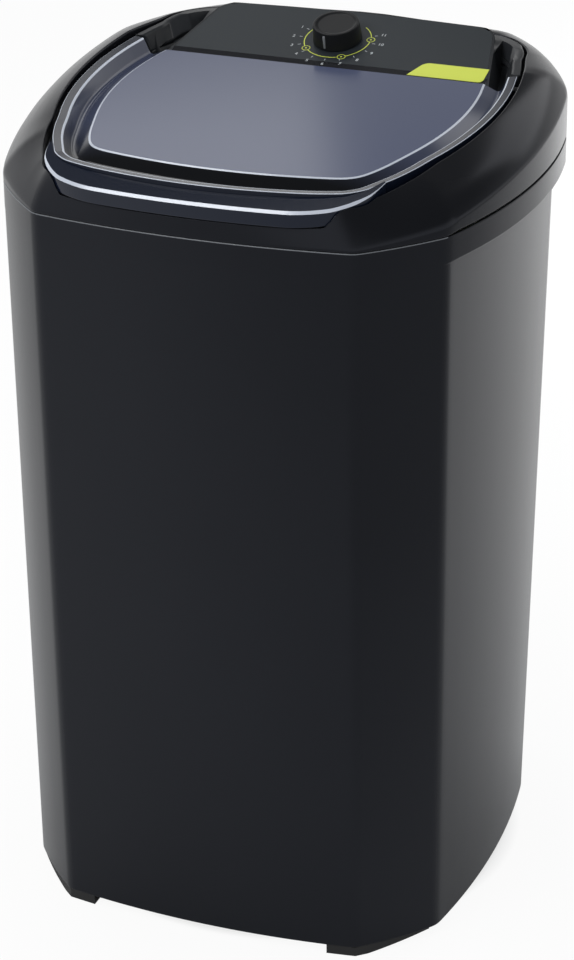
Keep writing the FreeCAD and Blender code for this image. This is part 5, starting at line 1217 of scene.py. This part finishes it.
def make_materials(look):
    """Materials by the pieces' looks; each has its tone, roughness, grain and grain depth in millimetres."""
    return {
        # Near-black moulded plastic with a soft sheen and faint orange peel.
        "body": surface("Gloss black ABS", look.body, 0.2, 1.6, 0.002, edge_mm=0.8, specular=0.2,
                        sheen_tone=linear("#E6ECFF")),
        # Moulded edge along the parting line, painted pale as a highlight: a thin pale line under the dark
        # gap.
        "seam": surface("ABS edge with painted highlight", look.seam, 0.3, 1.6),
        # The same plastic with a duller skin and a greyer tone, partly its own and partly painted light, so
        # that the shaded sunk valleys beside the block keep some grey.
        "console": surface("Satin black ABS", look.console, 0.3, 1.6, 0.002, edge_mm=0.8, specular=0.2),
        # Smoked blue plastic, polished, slate blue by itself with the room in its gloss.
        "lid": surface("Smoked blue polycarbonate", look.lid, 0.18, 2.5, 0.001, vary=0.04, edge_mm=0.6),
        # The sunk band round the window in painted shade: darker than the lid, black at the front and
        # clearing towards the rear.
        "well": surface("Blue polycarbonate in painted shade", shade(look.lid, WELL_PAINTED_SHADE)[:3], 0.15, 2.5, 0.001,
                        vary=0.04, painted_shade=look.well),
        # Polished bevels of the clear plastic, painted pale as highlights so that they stand out as pale
        # lines.
        "edge": surface("Polycarbonate edge with painted highlight", look.edge, 0.25, 2.5, vary=0.04, specular=0.8),
        # Blue-black gloss of the lip.
        "lip": surface("Blue-black gloss ABS", look.lip, 0.15, 2.5, 0.001, vary=0.06, specular=0.35),
        # Satin grey sheet with a fine printed grain, drawn coarser than the real one so that it shows.
        "panel": surface("Satin grey fascia sheet", look.panel, 0.42, 0.4, 0.002, edge_mm=0.4, specular=0.2),
        # Even bright enamel with a low gloss.
        "badge": surface("Yellow-green badge enamel", look.badge, 0.3, 0.6, 0.001, vary=0.04, edge_mm=0.3,
                         specular=0.3),
        # Soft satin black that shows the round of its edge.
        "knob": surface("Satin black knob plastic", look.knob, 0.36, 0.5, 0.003, edge_mm=0.5, specular=0.2),
        # Plain mid grey that reads against the knob.
        "mark": surface("Grey pointer plastic", look.mark, 0.4, 0.5, 0.002, vary=0.05),
        # Screen-printed inks, flat and slightly uneven; their grain is drawn coarser than the real one.
        "ink": surface("Pale print ink", look.ink, 0.55, 0.3, vary=0.06, specular=0.3),
        "green": surface("Yellow-green print ink", look.badge, 0.5, 0.3, vary=0.06, specular=0.3),
        # Dull black with a coarse moulded grain.
        "foot": surface("Matte black polypropylene", look.foot, 0.55, 0.8, 0.01, edge_mm=0.8),
        # Milky smooth plastic of the wet parts.
        "tub": surface("White polypropylene", look.tub, 0.35, 2.0, 0.004, vary=0.03, edge_mm=0.8),
        # Pale woven grey, dull and rough.
        "net": surface("Grey nylon net", linear("#8C98A2"), 0.6, 0.5, 0.02),
        # Zinc plate with a patchy crystalline gloss.
        "steel": surface("Zinc plated steel", linear("#B9BBBC"), 0.32, 1.2, 0.003, metal=1.0, edge_mm=0.3),
        # Thin black paint with a slight orange peel.
        "paint": surface("Satin black paint", linear("#191A1B"), 0.42, 0.9, 0.006, edge_mm=0.5),
        # Sand-cast skin, coarse and dull.
        "alloy": surface("Cast aluminium", linear("#A9ABAD"), 0.5, 0.9, 0.03, metal=1.0, edge_mm=0.6),
        # Warm porous metal without a hard gloss.
        "bronze": surface("Sintered bronze", linear("#A87B45"), 0.45, 0.5, 0.01, metal=1.0),
        # Flat black that takes hardly any light.
        "rubber": surface("Black rubber", linear("#141414"), 0.7, 0.7, 0.01, edge_mm=0.6),
        # Dark reddish wire with ridges in its gloss.
        "copper": surface("Enamelled copper wire", linear("#8E4A22"), 0.35, 1.0, 0.08, metal=1.0),
    }


# Studio: the floor's half size in metres, and white.
FLOOR_HALF = 6.0
WHITE = (1, 1, 1, 1)
# Metres from the middle between which the floor turns white, and how white: for the camera, and in gloss.
FLOOR_WHITE = ((0.17, 0.24, 0.93), (0.2, 1.0, 0.6))
# Way over the floor along which it darkens in gloss, the places between which it does, and how far.
DIM_WAY = (0.8, -0.6, 0)
DIM_NEAR = 0.2
DIM_FAR = 1.1
DIM_SHARE = 0.45
# Heights of view between which the white surround turns into the dark ceiling, and the ceiling's light.
CEILING_LOW = 0.12
CEILING_HIGH = 0.5
CEILING_LIGHT = 0.1
# Light that the surround gives to matt faces.
ROOM_TONE = (0.96, 0.98, 1.0, 1)
ROOM_LIGHT = 0.6
# Lamps: place, target, width and height in metres, power in watts, and whether gloss mirrors them.
LAMPS = {
    "key_front": ((-0.82, -1.6, 2.3), (0, -0.2, 0.8), 1.5, 0.6, 20, True),
    "edge_top": ((-0.75, 0.7, 2.45), (0, -0.1, 0.8), 1.2, 0.5, 7, True),
    "rear_soft": ((-1.1, 1.6, 1.83), (0, 0, 0.8), 1.0, 0.4, 1.4, True),
    "right_soft": ((0.96, 1.76, 1.85), (0.2, 0, 0.7), 1.2, 0.9, 4.5, True),
    "floor_rear": ((0.45, 2.3, 0.9), (0.45, 2.0, 0), 1.0, 0.8, 16, False),
}
# Height of the picture in the camera in millimetres, and how far the view reaches in metres.
PICTURE_HEIGHT = 36
VIEW_END = 50


def build_floor(scene):
    """Level floor round the machine."""
    corners = [(x * FLOOR_HALF, y * FLOOR_HALF, 0) for x, y in ((-1, -1), (1, -1), (1, 1), (-1, 1))]
    made = mesh_object("studio_floor", corners, [(0, 1, 2, 3)])
    made.data.materials.append(floor_paper(scene.washer_colours.floor))


def white_rays(tree, camera, mirrored):
    """How white the studio is for rays from the camera, and for rays from gloss or through glass."""
    path = put(tree, "ShaderNodeLightPath").outputs
    other = put(tree, "ShaderNodeMath", {0: path["Is Glossy Ray"], 1: path["Is Transmission Ray"]},
                operation="MAXIMUM").outputs[0]
    seen = put(tree, "ShaderNodeMath", {0: path["Is Camera Ray"], 1: camera}, operation="MULTIPLY").outputs[0]
    return put(tree, "ShaderNodeMath", {0: other, 1: mirrored, 2: seen}, operation="MULTIPLY_ADD").outputs[0]


def floor_paper(tone):
    """White studio paper that keeps a soft shadow."""
    made = bpy.data.materials.new("Studio paper")
    tree = fresh_tree(made)
    lit = put(tree, "ShaderNodeBsdfDiffuse", {"Color": shade(tone, 1)})
    glow = put(tree, "ShaderNodeEmission", {"Color": WHITE, "Strength": 1.0})
    # The white fades out under the machine, and more widely so in its gloss.
    spot = put(tree, "ShaderNodeTexCoord").outputs["Object"]
    away = put(tree, "ShaderNodeVectorMath", {0: spot}, operation="LENGTH").outputs["Value"]
    seen, mirrored = (
        put(tree, "ShaderNodeMapRange", {"Value": away, "From Min": near, "From Max": far,
                                         "To Max": most}).outputs["Result"]
        for near, far, most in FLOOR_WHITE
    )
    white = white_rays(tree, seen, mirrored)
    mix = put(tree, "ShaderNodeMixShader", {0: white, 1: lit.outputs[0], 2: glow.outputs[0]})
    # In gloss it also dims towards the front right, which sets the right facet apart from the front.
    right = put(tree, "ShaderNodeVectorMath", {0: spot, 1: DIM_WAY}, operation="DOT_PRODUCT").outputs["Value"]
    dim = put(tree, "ShaderNodeMapRange", {"Value": right, "From Min": DIM_NEAR, "From Max": DIM_FAR,
                                           "To Max": DIM_SHARE})
    gloss = put(tree, "ShaderNodeLightPath").outputs["Is Glossy Ray"]
    dark = put(tree, "ShaderNodeMath", {0: dim.outputs["Result"], 1: gloss}, operation="MULTIPLY").outputs[0]
    black = put(tree, "ShaderNodeEmission", {"Strength": 0.0})
    paper = put(tree, "ShaderNodeMixShader", {0: dark, 1: mix.outputs[0], 2: black.outputs[0]})
    put(tree, "ShaderNodeOutputMaterial", {"Surface": paper.outputs[0]})
    return made


def build_lights(scene):
    """Surround and area lamps."""
    world = bpy.data.worlds.new("Studio")
    scene.world = world
    tree = fresh_tree(world)
    # White up to a low angle above the horizon, then a dark ceiling, as in a studio with a lit sweep.
    way = put(tree, "ShaderNodeTexCoord").outputs["Generated"]
    rise = put(tree, "ShaderNodeSeparateXYZ", {0: way}).outputs["Z"]
    fall = put(tree, "ShaderNodeMapRange", {"Value": rise, "From Min": CEILING_LOW, "From Max": CEILING_HIGH,
                                            "To Min": 1.0, "To Max": CEILING_LIGHT},
               interpolation_type="SMOOTHSTEP")
    seen = put(tree, "ShaderNodeBackground", {"Color": WHITE, "Strength": fall.outputs["Result"]})
    room = put(tree, "ShaderNodeBackground", {"Color": ROOM_TONE, "Strength": ROOM_LIGHT})
    white = white_rays(tree, 1.0, 1.0)
    mix = put(tree, "ShaderNodeMixShader", {0: white, 1: room.outputs[0], 2: seen.outputs[0]})
    put(tree, "ShaderNodeOutputWorld", {"Surface": mix.outputs[0]})
    for name, (at, target, width, height, power, mirrored) in LAMPS.items():
        data = bpy.data.lights.new(name, "AREA")
        data.shape = "RECTANGLE"
        data.size, data.size_y = width, height
        data.energy = power
        lamp = bpy.data.objects.new(name, data)
        lamp.location = at
        lamp.visible_glossy = mirrored
        lamp.rotation_euler = (Vector(target) - Vector(at)).to_track_quat("-Z", "Y").to_euler()
        scene.collection.objects.link(lamp)


def build_camera(scene):
    """Camera at the photo's place and angle."""
    view = scene.washer_stage
    az, el, roll = view.azimuth, view.elevation, view.roll
    back = Vector((math.sin(az) * math.cos(el), -math.cos(az) * math.cos(el), math.sin(el)))
    right = Vector((math.cos(az), math.sin(az), 0))
    up = back.cross(right)
    across = right * math.cos(roll) + up * math.sin(roll)
    upright = up * math.cos(roll) - right * math.sin(roll)
    data = bpy.data.cameras.new("photo_view")
    data.lens = view.lens
    data.sensor_width = PICTURE_HEIGHT
    data.sensor_fit = "AUTO"
    data.clip_end = VIEW_END
    data.dof.use_dof = False
    camera = bpy.data.objects.new("photo_view", data)
    turn = Matrix((across, upright, back)).transposed().to_4x4()
    camera.matrix_world = Matrix.Translation(Vector(view.eye)) @ turn
    scene.collection.objects.link(camera)
    scene.camera = camera


# Looks of the CAD nodes that stay as they are
NODE_LOOKS = {
    "panel": ["fascia_panel"],
    "badge": ["fascia_badge"],
    "foot": ["foot_front_left", "foot_front_right", "foot_rear_left", "foot_rear_right", "rear_cover",
             "timer_body", "driven_pulley", "drain_strainer"],
    "tub": ["wash_tub", "impeller", "impeller_cap", "lint_filter_frame", "drain_elbow", "drain_outlet",
            "outlet_nut"],
    "net": ["lint_filter_mesh"],
    "steel": ["lid_hinge_pins", "console_screws", "timer_screws", "impeller_screw", "impeller_shaft",
              "housing_bolts", "bracket_screws", "motor_bolts", "motor_shaft", "pulley_nut", "hose_clamps",
              "rear_cover_screws", "cover_screws", "tub_screws", "timer_shaft", "capacitor_clip",
              "rotor_core", "stator_core"],
    "paint": ["motor_bracket", "motor_can"],
    "alloy": ["bearing_housing", "motor_upper_shield", "motor_lower_shield", "motor_pulley", "capacitor"],
    "bronze": ["upper_bush", "lower_bush"],
    "rubber": ["shaft_seal", "motor_mounts", "drive_belt", "drain_hose", "cord_gland"],
    "copper": ["stator_windings"],
}
LOOKS = {}


class WASHER_OT_materials(bpy.types.Operator):
    """Make the materials and give them to the carried-over nodes"""

    bl_idname = "washer.materials"
    bl_label = "Materials"

    def execute(self, context):
        LOOKS.update(make_materials(context.scene.washer_colours))
        for look, names in NODE_LOOKS.items():
            for name in names:
                mesh = nodes[name].data
                mesh.materials.clear()
                mesh.materials.append(LOOKS[look])
        return {"FINISHED"}


class WASHER_OT_cabinet(bpy.types.Operator):
    """Build the cabinet's shell with rounded edges"""

    bl_idname = "washer.cabinet"
    bl_label = "Cabinet"

    def execute(self, context):
        made = build_cabinet(context.scene)
        place(made, MACHINE, "dark_grey_gloss_plastic", ["body", "seam"], "cabinet")
        return {"FINISHED"}


class WASHER_OT_cover(bpy.types.Operator):
    """Build the top cover with its rolled shoulder"""

    bl_idname = "washer.cover"
    bl_label = "Top cover"

    def execute(self, context):
        made = build_cover(context.scene)
        place(made, MACHINE, "dark_grey_gloss_plastic", ["body"], "top_cover")
        return {"FINISHED"}


class WASHER_OT_lid(bpy.types.Operator):
    """Build the lid and its lip"""

    bl_idname = "washer.lid"
    bl_label = "Lid"

    def execute(self, context):
        place(build_lid(context.scene), "lid", "dark_grey_gloss_plastic", LID_LOOKS, "lid_panel")
        place(build_lip(context.scene), "lid", "dark_grey_gloss_plastic", ["lip", "edge"], "lid_handle")
        return {"FINISHED"}


class WASHER_OT_console(bpy.types.Operator):
    """Build the console with its rounded ring"""

    bl_idname = "washer.console"
    bl_label = "Console"

    def execute(self, context):
        made = build_console(context.scene)
        place(made, MACHINE, "dark_grey_gloss_plastic", ["console"], "console_housing")
        return {"FINISHED"}


class WASHER_OT_knob(bpy.types.Operator):
    """Build the timer knob and its pointer"""

    bl_idname = "washer.knob"
    bl_label = "Timer knob"

    def execute(self, context):
        cap, mark = build_knob(context.scene)
        place(cap, "knob", "knob_dark_plastic", ["knob"], "timer_knob")
        place(mark, "knob", "knob_dark_plastic", ["mark"])
        return {"FINISHED"}


class WASHER_OT_dial(bpy.types.Operator):
    """Paint the dark strip of shade, and print the ring, ticks and plain numbers on the panel"""

    bl_idname = "washer.dial"
    bl_label = "Dial print"

    def execute(self, context):
        # The black strip is painted shade at the console's front edge.
        place(build_shade_strip(context.scene), MACHINE, "fascia_grey_plastic", ["body"])
        place(build_rings(context.scene), MACHINE, "badge_yellow_green", ["green"])
        place(build_ticks(context.scene), MACHINE, "fascia_grey_plastic", ["ink"])
        place(build_numbers(context.scene), MACHINE, "fascia_grey_plastic", ["ink"])
        return {"FINISHED"}


class WASHER_OT_stage(bpy.types.Operator):
    """Build the floor, lights and camera"""

    bl_idname = "washer.stage"
    bl_label = "Studio"

    def execute(self, context):
        scene = context.scene
        build_floor(scene)
        build_lights(scene)
        build_camera(scene)
        scene.view_settings.view_transform = "Standard"
        return {"FINISHED"}


class WASHER_PT_panel(bpy.types.Panel):
    """Lists the steps in the sidebar"""

    bl_idname = "WASHER_PT_panel"
    bl_label = "Washing machine"
    bl_space_type = "VIEW_3D"
    bl_region_type = "UI"
    bl_category = "Washer"

    def draw(self, context):
        for operator in STEPS:
            self.layout.operator(operator.bl_idname)


GROUPS = {
    "washer_cabinet": CabinetSizes,
    "washer_cover": CoverSizes,
    "washer_lid": LidSizes,
    "washer_rear": RearSizes,
    "washer_dial": DialSizes,
    "washer_colours": LookColours,
    "washer_stage": StageSettings,
}
STEPS = [
    WASHER_OT_materials, WASHER_OT_cabinet, WASHER_OT_cover, WASHER_OT_lid,
    WASHER_OT_console, WASHER_OT_knob, WASHER_OT_dial, WASHER_OT_stage,
]


def register():
    """Adds the settings, the steps and the panel."""
    for name, group in GROUPS.items():
        bpy.utils.register_class(group)
        setattr(bpy.types.Scene, name, bpy.props.PointerProperty(type=group))
    for step in STEPS:
        bpy.utils.register_class(step)
    bpy.utils.register_class(WASHER_PT_panel)


def unregister():
    """Takes them away again."""
    bpy.utils.unregister_class(WASHER_PT_panel)
    for step in reversed(STEPS):
        bpy.utils.unregister_class(step)
    for name, group in reversed(list(GROUPS.items())):
        delattr(bpy.types.Scene, name)
        bpy.utils.unregister_class(group)


def main():
    """Builds everything in order."""
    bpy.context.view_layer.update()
    register()
    bpy.ops.washer.materials()
    bpy.ops.washer.cabinet()
    bpy.ops.washer.cover()
    bpy.ops.washer.lid()
    bpy.ops.washer.console()
    bpy.ops.washer.knob()
    bpy.ops.washer.dial()
    bpy.ops.washer.stage()


if __name__ == "__main__":
    main()
